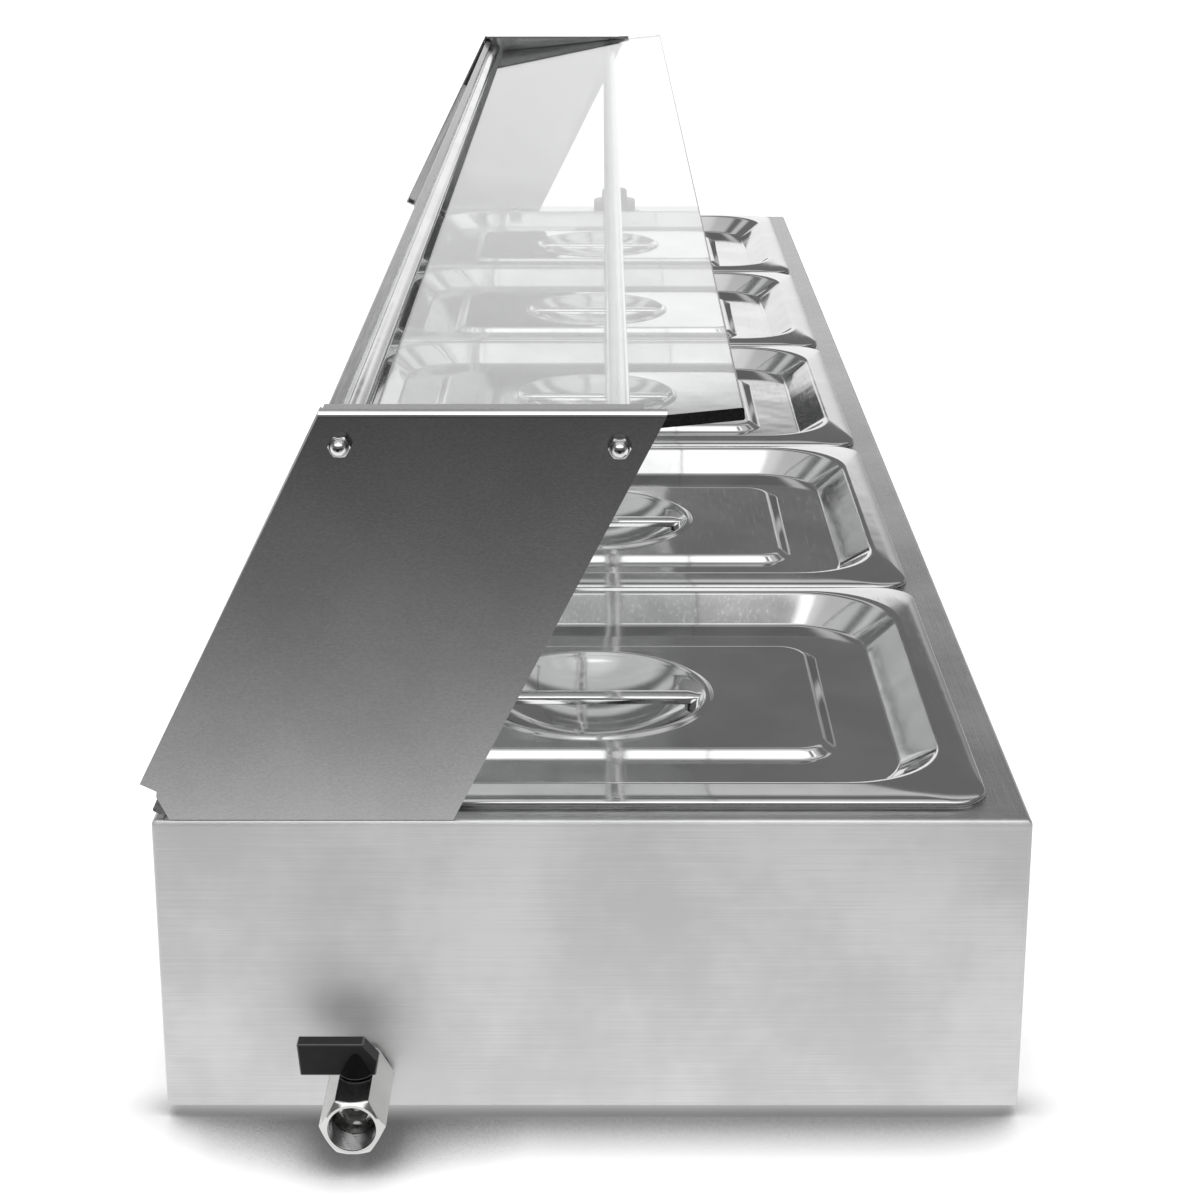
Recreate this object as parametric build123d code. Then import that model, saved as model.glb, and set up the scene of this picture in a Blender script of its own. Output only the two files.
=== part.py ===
from build123d import *
import math
import os

# Bain marie with five half-size pans, in millimetres.
# X runs along the length with the drain at +X, -Y is the customer side, Z is up from the table.

# Driving sizes of the pans
PAN_COUNT = 5
PAN_LENGTH = 265.0
PAN_WIDTH = 325.0
PAN_GAP = 4.0
PAN_DEPTH = 65.0
PAN_SHEET = 0.8
PAN_RIM = 12.5
PAN_RIM_HEIGHT = 1.8
PAN_RIM_ROUND = 1.3
PAN_CORNER = 15.0
PAN_CUP_CORNER = 39.0
PAN_FLOOR_RADIUS = 12.0
PAN_DRAFT = 10.0

# Driving sizes of the lids
LID_INSET = 1.5
LID_HEIGHT = 2.4
LID_EDGE_RADIUS = 1.8
LID_FLANGE = 12.0
LID_SLOPE_RUN = 16.5
LID_SLOPE_DROP = 11.5
LID_SLOPE_CORNER = 45.0
LID_FLOOR_CORNER = 35.0
FIELD_MARGIN_X = 34.5
FIELD_MARGIN_Y = 25.5
FIELD_HEIGHT = 3.75
FIELD_RUN = 4.0
FIELD_CORNER = 16.0
CUP_MARGIN = 14.5
CUP_DEPTH = 16.0
BEAD_RADIUS = 2.5
BEAD_SINK = 1.0
BEAD_OFFSET = 2.0
HANDLE_WIDTH = 10.0
HANDLE_THICKNESS = 5.0
HANDLE_ROUND = 2.2
HANDLE_RISE = 1.0
HANDLE_LAP = 1.25

# Driving sizes of the body
END_MARGIN = 13.5
SIDE_MARGIN = 15.0
BODY_HEIGHT = 129.0
SHEET = 1.0
EDGE_RADIUS = 2.5
CORNER_RADIUS = 2.0
RETURN_FLANGE = 14.0
BASE_CLEARANCE = 0.2
WELL_CLEARANCE = 8.5
WELL_CORNER = 5.0
TANK_FLANGE = 6.0
TANK_LIFT = 3.5
CROSS_BAR_WIDTH = 11.0
CROSS_BAR_DEPTH = 12.0
FOOT_HEIGHT = 6.0
FOOT_RADIUS = 12.0
FOOT_FLARE = 2.0
FOOT_END_INSET = 84.0
FOOT_SIDE_INSET = 47.5
CUT = 3.0

# Driving sizes of the screws
SCREW_RADIUS = 2.0
SCREW_HEAD_RADIUS = 3.5
SCREW_HEAD_HEIGHT = 2.2
SCREW_SLOT_DEPTH = 1.0
SCREW_SLOT_WIDTH = 1.0
SCREW_LENGTH = 6.0
SCREW_CLEARANCE = 0.05
BASE_SCREW_COLUMNS = 4

# Driving sizes of the guard
GUARD_HEIGHT = 170.0
GUARD_LEAN = 26.4
PANEL_SHEET = 1.2
PANEL_INSET = 1.0
PANEL_FLANGE = 11.0
PANEL_BEND = 1.0
PANEL_TOP_DEPTH = 133.6
PANEL_FOOT_INSET = 7.5
PANEL_FOOT_DEPTH = 114.2
PANEL_FLANGE_TRIM = 9.0
TIP_OVERHANG = 3.7
TIP_RISE = 15.5
HEEL_REACH = 4.9
HEEL_RISE = 9.9
GUARD_SCREW_INSET = 20.0
GLASS_THICKNESS = 5.0
GLASS_BEVEL = 0.6
GLASS_END_GAP = 1.0
TOP_GLASS_SETBACK = 16.8
TOP_GLASS_OVERHANG = 29.8
TOP_GLASS_DROP = 18.9
TOP_GLASS_TILT = 5.8
FRONT_GLASS_OFFSET = 3.0
FRONT_GLASS_TOP_GAP = 1.5
FRONT_GLASS_UPRIGHT = 2.0
TAPE_LENGTH = 40.0
LEDGE_REACH = 20.0
LEDGE_WIDTH = 12.0
LEDGE_SHEET = 1.5
LEDGE_HEIGHT = 10.0
ROD_RADIUS = 5.0
ROD_STUD_RADIUS = 2.5
ROD_STUD_REACH = 5.0
ROD_SEAT_GAP = 0.02
FRONT_ROD_DROP = 13.3
REAR_ROD_INSET = 18.4
NUT_WALL = 1.5
NUT_HEIGHT = 4.0
NUT_DOME_WALL = 1.1

# Driving sizes of the drain valve
VALVE_FROM_FRONT = 82.2
VALVE_HEIGHT = 16.7
VALVE_CHAMFER = 1.2
WASHER_THICKNESS = 2.0
WASHER_INSET = 0.3
COLLAR_WIDTH = 3.55
OUTLET_RADIUS = 10.48
OUTLET_WALL = 1.1
OUTLET_DEPTH = 12.0
NIPPLE_PLAY = 0.03
NIPPLE_BORE = 7.5
NIPPLE_SOCKET = 8.5
NIPPLE_END_GAP = 0.5
CHAMBER_CLEARANCE = 1.2
CHAMBER_WALL = 2.5
BALL_RADIUS = 7.8
BALL_BORE = 5.0
BALL_SLOT_WIDTH = 3.0
BALL_SLOT_DEPTH = 2.2
SEAT_WALL = 1.2
SEAT_LAP = 3.3
RETAINER_LENGTH = 3.0
RETAINER_FLATS = 10.0
STEM_RADIUS = 4.0
STEM_BOSS_WALL = 0.6
STEM_BOSS_HEIGHT = 2.0
SEAL_WIDTH = 0.8
SEAL_HEIGHT = 1.5
LEVER_LENGTH = 23.7
LEVER_TAIL = 9.3
LEVER_THICKNESS = 7.0
LEVER_HEIGHT = 14.0
LEVER_ROUND = 1.2
LEVER_SLANT = 6.0
LEVER_CHIN = 7.5
LEVER_GAP = 0.5
HUB_WALL = 1.5
HUB_DROP = 3.0
STEM_GRIP = 5.0
SET_SCREW_RADIUS = 1.5
SET_SCREW_LENGTH = 1.6
RUNNING_FIT = 0.05

# Driving sizes of the heating
ELEMENT_RADIUS = 4.0
ELEMENT_SPREAD = 60.0
ELEMENT_LIFT = 17.0
ELEMENT_REACH = 20.0
ELEMENT_PIN_RADIUS = 1.5
ELEMENT_PIN_LENGTH = 12.0
BUSH_WALL = 5.0
BUSH_FLANGE_WIDTH = 3.0
BUSH_FLANGE = 3.0
BUSH_NUT_WALL = 3.0
BUSH_NUT_HEIGHT = 6.0
CLIP_COUNT = 3
CLIP_SPACING = 400.0
CLIP_WIDTH = 12.0
CLIP_SHEET = 1.2
SLIP_FIT = 0.02
CAPILLARY_RADIUS = 1.0
CAPILLARY_FROM_REAR = 66.0
CAPILLARY_LIFT = 27.0
CAPILLARY_BEND = 10.0
CAPILLARY_GLAND = 6.0
CAPILLARY_COLLAR = 3.0
BULB_RADIUS = 3.0
BULB_LENGTH = 95.0
LIMIT_FROM_FRONT = 46.0
LIMIT_LIFT = 47.0
LIMIT_RADIUS = 8.0
LIMIT_TAG_LENGTH = 6.0
LIMIT_TAG_SHEET = 0.8

# Driving sizes of the controls
CONTROL_LENGTH = 90.0
CONTROL_SIDE_INSET = 77.5
CONTROL_DROP = 10.0
CONTROL_EDGE = 2.0
EAR_WIDTH = 12.0
EAR_INSET = 9.0
EAR_SCREW_INSET = 15.0
THERMOSTAT_SIZE = 40.0
THERMOSTAT_HEIGHT = 32.0
THERMOSTAT_BUSH_WALL = 2.0
THERMOSTAT_BUSH_RISE = 2.0
SHAFT_RADIUS = 3.0
SHAFT_GRIP = 12.0
DIAL_RADIUS = 30.0
DIAL_THICKNESS = 0.6
KNOB_RADIUS = 20.0
KNOB_HEIGHT = 20.0
KNOB_GAP = 3.0
KNOB_ROUND = 3.0
KNOB_GRIP_WIDTH = 10.0
KNOB_GRIP_LENGTH = 32.0
KNOB_BASE_HEIGHT = 11.0
KNOB_Y = 16.6
LAMP_FROM_BODY = 30.0
LAMP_RADIUS = 4.5
LAMP_BEZEL_WIDTH = 2.5
LAMP_BEZEL_HEIGHT = 1.5
LAMP_HEIGHT = 4.0
LAMP_DEPTH = 16.0
LAMP_FROM_KNOB = 51.6
LAMP_SPACING = 27.0
TERMINAL_LENGTH = 60.0
TERMINAL_WIDTH = 20.0
TERMINAL_HEIGHT = 18.0
TERMINAL_PITCH = 20.0
TERMINAL_HOLE = 2.5
TERMINAL_HOLE_DEPTH = 9.0
GLAND_Y = -60.0
GLAND_LIFT = 26.0
GLAND_REACH = 20.0
GLAND_BORE = 4.0
GLAND_WALL = 2.0
GLAND_NUT_WALL = 3.0
GLAND_HEX_HEIGHT = 6.0
GLAND_NUT_HEIGHT = 5.0
GLAND_ROUND = 2.0

# Heights and faces worked out from the driving sizes
PAN_PITCH = PAN_LENGTH + PAN_GAP
ROW_HALF = (PAN_COUNT - 1) * PAN_PITCH / 2
PAN_CENTRES = [-ROW_HALF + PAN_PITCH * i for i in range(PAN_COUNT)]
BODY_LENGTH = 2 * ROW_HALF + PAN_LENGTH + 2 * END_MARGIN
BODY_WIDTH = PAN_WIDTH + 2 * SIDE_MARGIN
END_X = BODY_LENGTH / 2
SIDE_Y = BODY_WIDTH / 2
DECK_Z = FOOT_HEIGHT + BODY_HEIGHT
BASE_TOP = FOOT_HEIGHT + 2 * SHEET
TANK_FLOOR = BASE_TOP + TANK_LIFT
RIM_TOP = DECK_Z + PAN_RIM_HEIGHT
LID_TOP = RIM_TOP + LID_HEIGHT
CUP_LENGTH = PAN_LENGTH - 2 * PAN_RIM
CUP_WIDTH = PAN_WIDTH - 2 * PAN_RIM
WELL_LENGTH = 2 * ROW_HALF + CUP_LENGTH + 2 * WELL_CLEARANCE
WELL_WIDTH = CUP_WIDTH + 2 * WELL_CLEARANCE
TANK_X = WELL_LENGTH / 2
TANK_TOP = DECK_Z - SHEET
CONTROL_X = -END_X - CONTROL_LENGTH
CONTROL_TOP = DECK_Z - CONTROL_DROP
CONTROL_HALF = SIDE_Y - CONTROL_SIDE_INSET
KNOB_X = -END_X - CONTROL_LENGTH / 2
VALVE_Y = -SIDE_Y + VALVE_FROM_FRONT
VALVE_Z = FOOT_HEIGHT + VALVE_HEIGHT
NIPPLE_RADIUS = OUTLET_RADIUS - NIPPLE_PLAY
COLLAR_RADIUS = NIPPLE_RADIUS + COLLAR_WIDTH
VALVE_FLATS = 2 * (OUTLET_RADIUS + OUTLET_WALL)
CHAMBER_RADIUS = BALL_RADIUS + CHAMBER_CLEARANCE
CHAMBER_LENGTH = 2 * (BALL_RADIUS + SEAT_WALL) + RETAINER_LENGTH
SEAT_LENGTH = SEAT_WALL + SEAT_LAP
VALVE_LENGTH = NIPPLE_SOCKET + CHAMBER_WALL + CHAMBER_LENGTH + OUTLET_DEPTH
SEAL_RADIUS = STEM_RADIUS + SEAL_WIDTH
STEM_BOSS_RADIUS = SEAL_RADIUS + STEM_BOSS_WALL
HUB_RADIUS = STEM_BOSS_RADIUS + LEVER_GAP + HUB_WALL
VALVE_REAR = END_X + WASHER_THICKNESS
VALVE_FRONT = VALVE_REAR + VALVE_LENGTH
ELEMENT_Z = TANK_FLOOR + ELEMENT_LIFT
ELEMENT_LEGS = (-ELEMENT_SPREAD, ELEMENT_SPREAD)
BUSH_RADIUS = ELEMENT_RADIUS + BUSH_WALL
BUSH_FLANGE_RADIUS = BUSH_RADIUS + BUSH_FLANGE_WIDTH
BUSH_NUT_FLATS = 2 * (BUSH_RADIUS + BUSH_NUT_WALL)
CAPILLARY_Y = WELL_WIDTH / 2 - CAPILLARY_FROM_REAR
CAPILLARY_Z = TANK_FLOOR + CAPILLARY_LIFT
THERMOSTAT_BUSH = SHAFT_RADIUS + THERMOSTAT_BUSH_WALL
LAMP_BEZEL = LAMP_RADIUS + LAMP_BEZEL_WIDTH
GLAND_THREAD = GLAND_BORE + GLAND_WALL
GLAND_FLATS = 2 * (GLAND_THREAD + GLAND_NUT_WALL)
GLAND_Z = FOOT_HEIGHT + GLAND_LIFT
TIP_Y = -SIDE_Y - TIP_OVERHANG
LEAN_SIN = math.sin(math.radians(GUARD_LEAN))
LEAN_COS = math.cos(math.radians(GUARD_LEAN))
EDGE_LENGTH = (GUARD_HEIGHT - TIP_RISE) / LEAN_COS
TOP_GLASS_WIDTH = PANEL_TOP_DEPTH - TOP_GLASS_SETBACK + TOP_GLASS_OVERHANG
NUT_FLATS = 2 * (ROD_STUD_RADIUS + NUT_WALL)
NUT_DOME_RADIUS = ROD_STUD_RADIUS + NUT_DOME_WALL
GUARD_TOP = DECK_Z + GUARD_HEIGHT
PANEL_TOP_FRONT = TIP_Y + EDGE_LENGTH * LEAN_SIN
PANEL_TOP_REAR = PANEL_TOP_FRONT + PANEL_TOP_DEPTH
PANEL_FOOT_FRONT = -SIDE_Y + PANEL_FOOT_INSET
PANEL_FOOT_REAR = PANEL_FOOT_FRONT + PANEL_FOOT_DEPTH
PANEL_OUT = END_X - PANEL_INSET
PANEL_IN = PANEL_OUT - PANEL_SHEET
FLANGE_IN = PANEL_OUT - PANEL_FLANGE
GLASS_END = PANEL_IN - GLASS_END_GAP
FRAME_SHIFT = (CONTROL_LENGTH + GLAND_REACH - WASHER_THICKNESS - VALVE_LENGTH) / 2

# Fixing places that several pieces share
SCREW_HOLE = SCREW_RADIUS + SCREW_CLEARANCE
COLUMN_STEP = 2 * (END_X - FOOT_END_INSET) / (BASE_SCREW_COLUMNS - 1)
BASE_COLUMNS = [FOOT_END_INSET - END_X + COLUMN_STEP * i for i in range(BASE_SCREW_COLUMNS)]
BASE_SCREW_Y = SIDE_Y - RETURN_FLANGE / 2 - SHEET / 2
BASE_SCREWS = [(x, y) for x in BASE_COLUMNS for y in (-BASE_SCREW_Y, BASE_SCREW_Y)]
GUARD_SCREW_X = (PANEL_IN + FLANGE_IN) / 2
GUARD_SCREW_YS = (PANEL_FOOT_FRONT + GUARD_SCREW_INSET, PANEL_FOOT_REAR - GUARD_SCREW_INSET)
GUARD_SCREWS = [(sign * GUARD_SCREW_X, y) for sign in (-1, 1) for y in GUARD_SCREW_YS]
EAR_BOTTOM = FOOT_HEIGHT + EAR_INSET
EAR_TOP = CONTROL_TOP - EAR_INSET
EAR_Y = CONTROL_HALF + EAR_WIDTH / 2
EAR_SCREW_ZS = (EAR_BOTTOM + EAR_SCREW_INSET, EAR_TOP - EAR_SCREW_INSET)
EAR_SCREWS = [(y, z) for y in (-EAR_Y, EAR_Y) for z in EAR_SCREW_ZS]


# Shape helpers

def block(x0, x1, y0, y1, z0, z1):
    centre = Pos((x0 + x1) / 2, (y0 + y1) / 2, (z0 + z1) / 2)
    return centre * Box(x1 - x0, y1 - y0, z1 - z0)


def slab(length, width, radius, z0, z1):
    outline = Pos(0, 0, z0) * RectangleRounded(length, width, radius)
    return extrude(outline, z1 - z0, dir=(0, 0, 1))


def bar_x(radius, x0, x1, y, z):
    return Pos((x0 + x1) / 2, y, z) * Rot(0, 90, 0) * Cylinder(radius, x1 - x0)


def bar_z(radius, z0, z1, x, y):
    return Pos(x, y, (z0 + z1) / 2) * Cylinder(radius, z1 - z0)


def hex_x(flats, x0, x1, y, z):
    seat = Plane((x0, y, z), x_dir=(0, 1, 0), z_dir=(1, 0, 0))
    return extrude(seat * RegularPolygon(flats / math.sqrt(3), 6), x1 - x0)


def ring_z(outer, inner, z0, z1, x, y):
    return bar_z(outer, z0, z1, x, y) - bar_z(inner, z0 - CUT, z1 + CUT, x, y)


def side_prism(points, x0, x1):
    wire = Polyline(*[(x0, y, z) for y, z in points], close=True)
    return extrude(make_face(wire), x1 - x0, dir=(1, 0, 0))


def rounded_box(length, width, z0, z1, corner, top):
    solid = block(-length / 2, length / 2, -width / 2, width / 2, z0, z1)
    solid = fillet(solid.edges().filter_by(Axis.Z), corner)
    return fillet(solid.faces().sort_by(Axis.Z)[-1].edges(), top)


def mirrored(part):
    return mirror(part, about=Plane.YZ)


def mitred(shell, half_x, half_y, z0, z1):
    # Cuts a rectangular shell at its 45 degree corners into two end sheets and two side sheets
    inner = half_x - half_y
    outlines = []
    for sign in (-1, 1):
        outlines.append([(sign * half_x, -half_y), (sign * half_x, half_y), (sign * inner, 0)])
        outlines.append([(-half_x, sign * half_y), (half_x, sign * half_y), (inner, 0), (-inner, 0)])
    sheets = []
    for outline in outlines:
        region = make_face(Polyline(*[(x, y, z0) for x, y in outline], close=True))
        sheets.append(shell & extrude(region, z1 - z0, dir=(0, 0, 1)))
    return sheets


os.makedirs("parts", exist_ok=True)


def save(name, *pieces):
    placed = [Pos(FRAME_SHIFT, 0, 0) * piece for piece in pieces]
    shape = placed[0] if len(placed) == 1 else Compound(children=placed)
    export_step(shape, "parts/" + name + ".step")


def screw_z(x, y, seat, length, radius, down):
    # A slotted screw whose head stands on a seat; down is -1 for a shank that points down and 1 for up
    crown = seat - down * SCREW_HEAD_HEIGHT
    head = sorted((seat, crown))
    shank = sorted((seat, seat + down * length))
    slot = sorted((crown, crown + down * SCREW_SLOT_DEPTH))
    slot_half = SCREW_SLOT_WIDTH / 2
    screw = bar_z(SCREW_HEAD_RADIUS, head[0], head[1], x, y)
    screw += bar_z(radius, shank[0], shank[1], x, y)
    return screw - block(x - slot_half, x + slot_half, y - SCREW_HEAD_RADIUS, y + SCREW_HEAD_RADIUS,
                         slot[0], slot[1])


# Casing: four folded sheets with mitred, welded corners; each makes a wall, its strip of the deck
# and its return flange under the body
casing = rounded_box(BODY_LENGTH, BODY_WIDTH, FOOT_HEIGHT, DECK_Z, CORNER_RADIUS, EDGE_RADIUS)
casing -= rounded_box(BODY_LENGTH - 2 * SHEET, BODY_WIDTH - 2 * SHEET, FOOT_HEIGHT + SHEET, DECK_Z - SHEET,
                      CORNER_RADIUS - SHEET / 2, EDGE_RADIUS - SHEET)
casing -= slab(BODY_LENGTH - 2 * RETURN_FLANGE, BODY_WIDTH - 2 * RETURN_FLANGE, CORNER_RADIUS,
               FOOT_HEIGHT - CUT, FOOT_HEIGHT + SHEET + CUT)
casing -= slab(WELL_LENGTH, WELL_WIDTH, WELL_CORNER, TANK_TOP - CUT, DECK_Z + CUT)
casing -= bar_x(NIPPLE_RADIUS + RUNNING_FIT, END_X - CUT, END_X + CUT, VALVE_Y, VALVE_Z)
for leg in ELEMENT_LEGS:
    casing -= bar_x(BUSH_RADIUS, -END_X - CUT, -END_X + CUT, leg, ELEMENT_Z)
casing -= bar_x(CAPILLARY_GLAND, -END_X - CUT, -END_X + CUT, CAPILLARY_Y, CAPILLARY_Z)
for x, y in GUARD_SCREWS:
    casing -= bar_z(SCREW_HOLE, DECK_Z - CUT, DECK_Z + CUT, x, y)
for x, y in BASE_SCREWS:
    casing -= bar_z(SCREW_HOLE, FOOT_HEIGHT - CUT, FOOT_HEIGHT + CUT, x, y)
for y, z in EAR_SCREWS:
    casing -= bar_x(SCREW_HOLE, -END_X - CUT, -END_X + CUT, y, z)
save("casing", *mitred(casing, END_X + CUT, SIDE_Y + CUT, FOOT_HEIGHT - CUT, DECK_Z + CUT))

# Base plate on the return flange, the screws that hold it from below, and the feet
base_x = END_X - SHEET - BASE_CLEARANCE
base_y = SIDE_Y - SHEET - BASE_CLEARANCE
base_plate = block(-base_x, base_x, -base_y, base_y, FOOT_HEIGHT + SHEET, BASE_TOP)
base_plate = fillet(base_plate.edges().filter_by(Axis.Z), CORNER_RADIUS)
for x, y in BASE_SCREWS:
    base_plate -= bar_z(SCREW_HOLE, FOOT_HEIGHT, BASE_TOP + CUT, x, y)
save("base_plate", base_plate)

save("base_screws", *[screw_z(x, y, FOOT_HEIGHT, SCREW_LENGTH, SCREW_RADIUS, 1) for x, y in BASE_SCREWS])

foot_height = FOOT_HEIGHT + SHEET
feet = []
for x in (FOOT_END_INSET - END_X, 0, END_X - FOOT_END_INSET):
    for y in (FOOT_SIDE_INSET - SIDE_Y, SIDE_Y - FOOT_SIDE_INSET):
        feet.append(Pos(x, y, foot_height / 2) * Cone(FOOT_RADIUS, FOOT_RADIUS + FOOT_FLARE, foot_height))
save("rubber_feet", *feet)

# Water tank, hung under the deck by its flange: a floor and four folded walls with welded corners
tank = slab(WELL_LENGTH + 2 * SHEET, WELL_WIDTH + 2 * SHEET, WELL_CORNER + SHEET,
            TANK_FLOOR - SHEET, TANK_TOP)
flange = 2 * (SHEET + TANK_FLANGE)
tank += slab(WELL_LENGTH + flange, WELL_WIDTH + flange, WELL_CORNER + flange / 2, TANK_TOP - SHEET, TANK_TOP)
tank -= slab(WELL_LENGTH, WELL_WIDTH, WELL_CORNER, TANK_FLOOR, TANK_TOP + CUT)
tank -= bar_x(NIPPLE_RADIUS, TANK_X - CUT, TANK_X + CUT, VALVE_Y, VALVE_Z)
for leg in ELEMENT_LEGS:
    tank -= bar_x(BUSH_RADIUS, -TANK_X - CUT, -TANK_X + CUT, leg, ELEMENT_Z)
tank -= bar_x(CAPILLARY_GLAND, -TANK_X - CUT, -TANK_X + CUT, CAPILLARY_Y, CAPILLARY_Z)
tank_floor = tank & block(-END_X, END_X, -SIDE_Y, SIDE_Y, TANK_FLOOR - SHEET, TANK_FLOOR)
mitre_x = (WELL_LENGTH + flange) / 2 + CUT
mitre_y = (WELL_WIDTH + flange) / 2 + CUT
tank_walls = mitred(tank, mitre_x, mitre_y, TANK_FLOOR, TANK_TOP)
save("water_tank", tank_floor, *tank_walls)

# Cross bars that carry the pan rims between neighbouring pans
bar_half = CROSS_BAR_WIDTH / 2
bar_foot = DECK_Z - CROSS_BAR_DEPTH
cross_bars = []
for i in range(PAN_COUNT - 1):
    x = (PAN_CENTRES[i] + PAN_CENTRES[i + 1]) / 2
    bar = block(x - bar_half, x + bar_half, -WELL_WIDTH / 2, WELL_WIDTH / 2, bar_foot, DECK_Z)
    bar -= block(x - bar_half + SHEET, x + bar_half - SHEET, -WELL_WIDTH, WELL_WIDTH,
                 bar_foot - CUT, DECK_Z - SHEET)
    cross_bars.append(bar)
save("cross_bars", *cross_bars)

# Heating element: one tube bent into a long loop, with a pin at each end inside the control box
element_end = -END_X - ELEMENT_REACH
element_bend = TANK_X - 2 * ELEMENT_SPREAD
first_run = Line((element_end, -ELEMENT_SPREAD, ELEMENT_Z), (element_bend, -ELEMENT_SPREAD, ELEMENT_Z))
element_far = (element_bend + ELEMENT_SPREAD, 0, ELEMENT_Z)
turn = ThreePointArc(first_run @ 1, element_far, (element_bend, ELEMENT_SPREAD, ELEMENT_Z))
second_run = Line(turn @ 1, (element_end, ELEMENT_SPREAD, ELEMENT_Z))
tube_start = Plane((element_end, -ELEMENT_SPREAD, ELEMENT_Z), z_dir=(1, 0, 0))
element = sweep(tube_start * Circle(ELEMENT_RADIUS), path=first_run + turn + second_run)
for leg in ELEMENT_LEGS:
    element += bar_x(ELEMENT_PIN_RADIUS, element_end - ELEMENT_PIN_LENGTH, element_end, leg, ELEMENT_Z)
save("heating_element", element)

bush_end = -END_X - BUSH_NUT_HEIGHT - SHEET
bushes = []
nuts = []
for leg in ELEMENT_LEGS:
    bush = bar_x(BUSH_RADIUS, bush_end, -TANK_X, leg, ELEMENT_Z)
    bush += bar_x(BUSH_FLANGE_RADIUS, -TANK_X, -TANK_X + BUSH_FLANGE, leg, ELEMENT_Z)
    bush -= bar_x(ELEMENT_RADIUS + SLIP_FIT, bush_end - CUT, -TANK_X + BUSH_FLANGE + CUT, leg, ELEMENT_Z)
    bushes.append(bush)
    nut = hex_x(BUSH_NUT_FLATS, -END_X - BUSH_NUT_HEIGHT, -END_X, leg, ELEMENT_Z)
    nut -= bar_x(BUSH_RADIUS, bush_end - CUT, -END_X + CUT, leg, ELEMENT_Z)
    nuts.append(nut)
save("element_bushes", *bushes)
save("element_nuts", *nuts)

clip_top = ELEMENT_Z - ELEMENT_RADIUS - SLIP_FIT
clip_half = ELEMENT_SPREAD + CLIP_WIDTH
clips = []
for i in range(CLIP_COUNT):
    x = (i - (CLIP_COUNT - 1) / 2) * CLIP_SPACING
    clip = block(x - CLIP_WIDTH / 2, x + CLIP_WIDTH / 2, -clip_half, clip_half, TANK_FLOOR, clip_top)
    clip -= block(x - CLIP_WIDTH, x + CLIP_WIDTH, -clip_half + CLIP_SHEET, clip_half - CLIP_SHEET,
                  TANK_FLOOR - CUT, clip_top - CLIP_SHEET)
    clips.append(clip)
save("element_clips", *clips)

# Thermostat under the control box top, its capillary and the bulb in the water
thermostat_top = CONTROL_TOP - SHEET
thermostat_base = thermostat_top - THERMOSTAT_HEIGHT
bush_top = CONTROL_TOP + THERMOSTAT_BUSH_RISE
shaft_foot = CONTROL_TOP - SHAFT_GRIP
half = THERMOSTAT_SIZE / 2
thermostat = block(KNOB_X - half, KNOB_X + half, KNOB_Y - half, KNOB_Y + half,
                   thermostat_base, thermostat_top)
thermostat += bar_z(THERMOSTAT_BUSH, thermostat_top, bush_top, KNOB_X, KNOB_Y)
thermostat -= bar_z(SHAFT_RADIUS + RUNNING_FIT, shaft_foot - RUNNING_FIT, bush_top + CUT, KNOB_X, KNOB_Y)
save("thermostat_body", thermostat)

bulb_start = -TANK_X + 2 * CAPILLARY_BEND
rise_x = KNOB_X + half - 2 * BULB_RADIUS
rise_top = thermostat_base + 2 * BULB_RADIUS
bend = CAPILLARY_BEND
level_run = Line((bulb_start, CAPILLARY_Y, CAPILLARY_Z), (rise_x + bend, CAPILLARY_Y, CAPILLARY_Z))
lower_bend = TangentArc(level_run @ 1, (rise_x, CAPILLARY_Y, CAPILLARY_Z + bend), tangent=(-1, 0, 0))
climb = Line(lower_bend @ 1, (rise_x, CAPILLARY_Y, rise_top - bend))
upper_bend = TangentArc(climb @ 1, (rise_x, CAPILLARY_Y - bend, rise_top), tangent=(0, 0, 1))
last_run = Line(upper_bend @ 1, (rise_x, KNOB_Y + half, rise_top))
capillary_path = level_run + lower_bend + climb + upper_bend + last_run
bulb = sweep(Plane(level_run @ 0, z_dir=(-1, 0, 0)) * Circle(CAPILLARY_RADIUS), path=capillary_path)
bulb += bar_x(BULB_RADIUS, bulb_start, bulb_start + BULB_LENGTH, CAPILLARY_Y, CAPILLARY_Z)
save("thermostat_bulb", bulb)

gland_rear = -END_X - CAPILLARY_COLLAR
gland_front = -TANK_X + CAPILLARY_COLLAR
gland = bar_x(CAPILLARY_GLAND, gland_rear, -TANK_X, CAPILLARY_Y, CAPILLARY_Z)
gland += bar_x(CAPILLARY_GLAND + CAPILLARY_COLLAR, -TANK_X, gland_front, CAPILLARY_Y, CAPILLARY_Z)
gland -= bar_x(CAPILLARY_RADIUS + SLIP_FIT, gland_rear - CUT, gland_front + CUT, CAPILLARY_Y, CAPILLARY_Z)
save("capillary_gland", gland)

limit_y = -WELL_WIDTH / 2 + LIMIT_FROM_FRONT
limit_z = TANK_FLOOR + LIMIT_LIFT
limit_face = -TANK_X - SHEET
limit_back = limit_face - LIMIT_RADIUS
limit_switch = bar_x(LIMIT_RADIUS, limit_back, limit_face, limit_y, limit_z)
for side in (-1, 1):
    tag_y = limit_y + side * LIMIT_RADIUS / 2
    limit_switch += block(limit_back - LIMIT_TAG_LENGTH, limit_back,
                          tag_y - LIMIT_TAG_SHEET / 2, tag_y + LIMIT_TAG_SHEET / 2,
                          limit_z - LIMIT_TAG_LENGTH / 2, limit_z + LIMIT_TAG_LENGTH / 2)
save("limit_switch", limit_switch)

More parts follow.
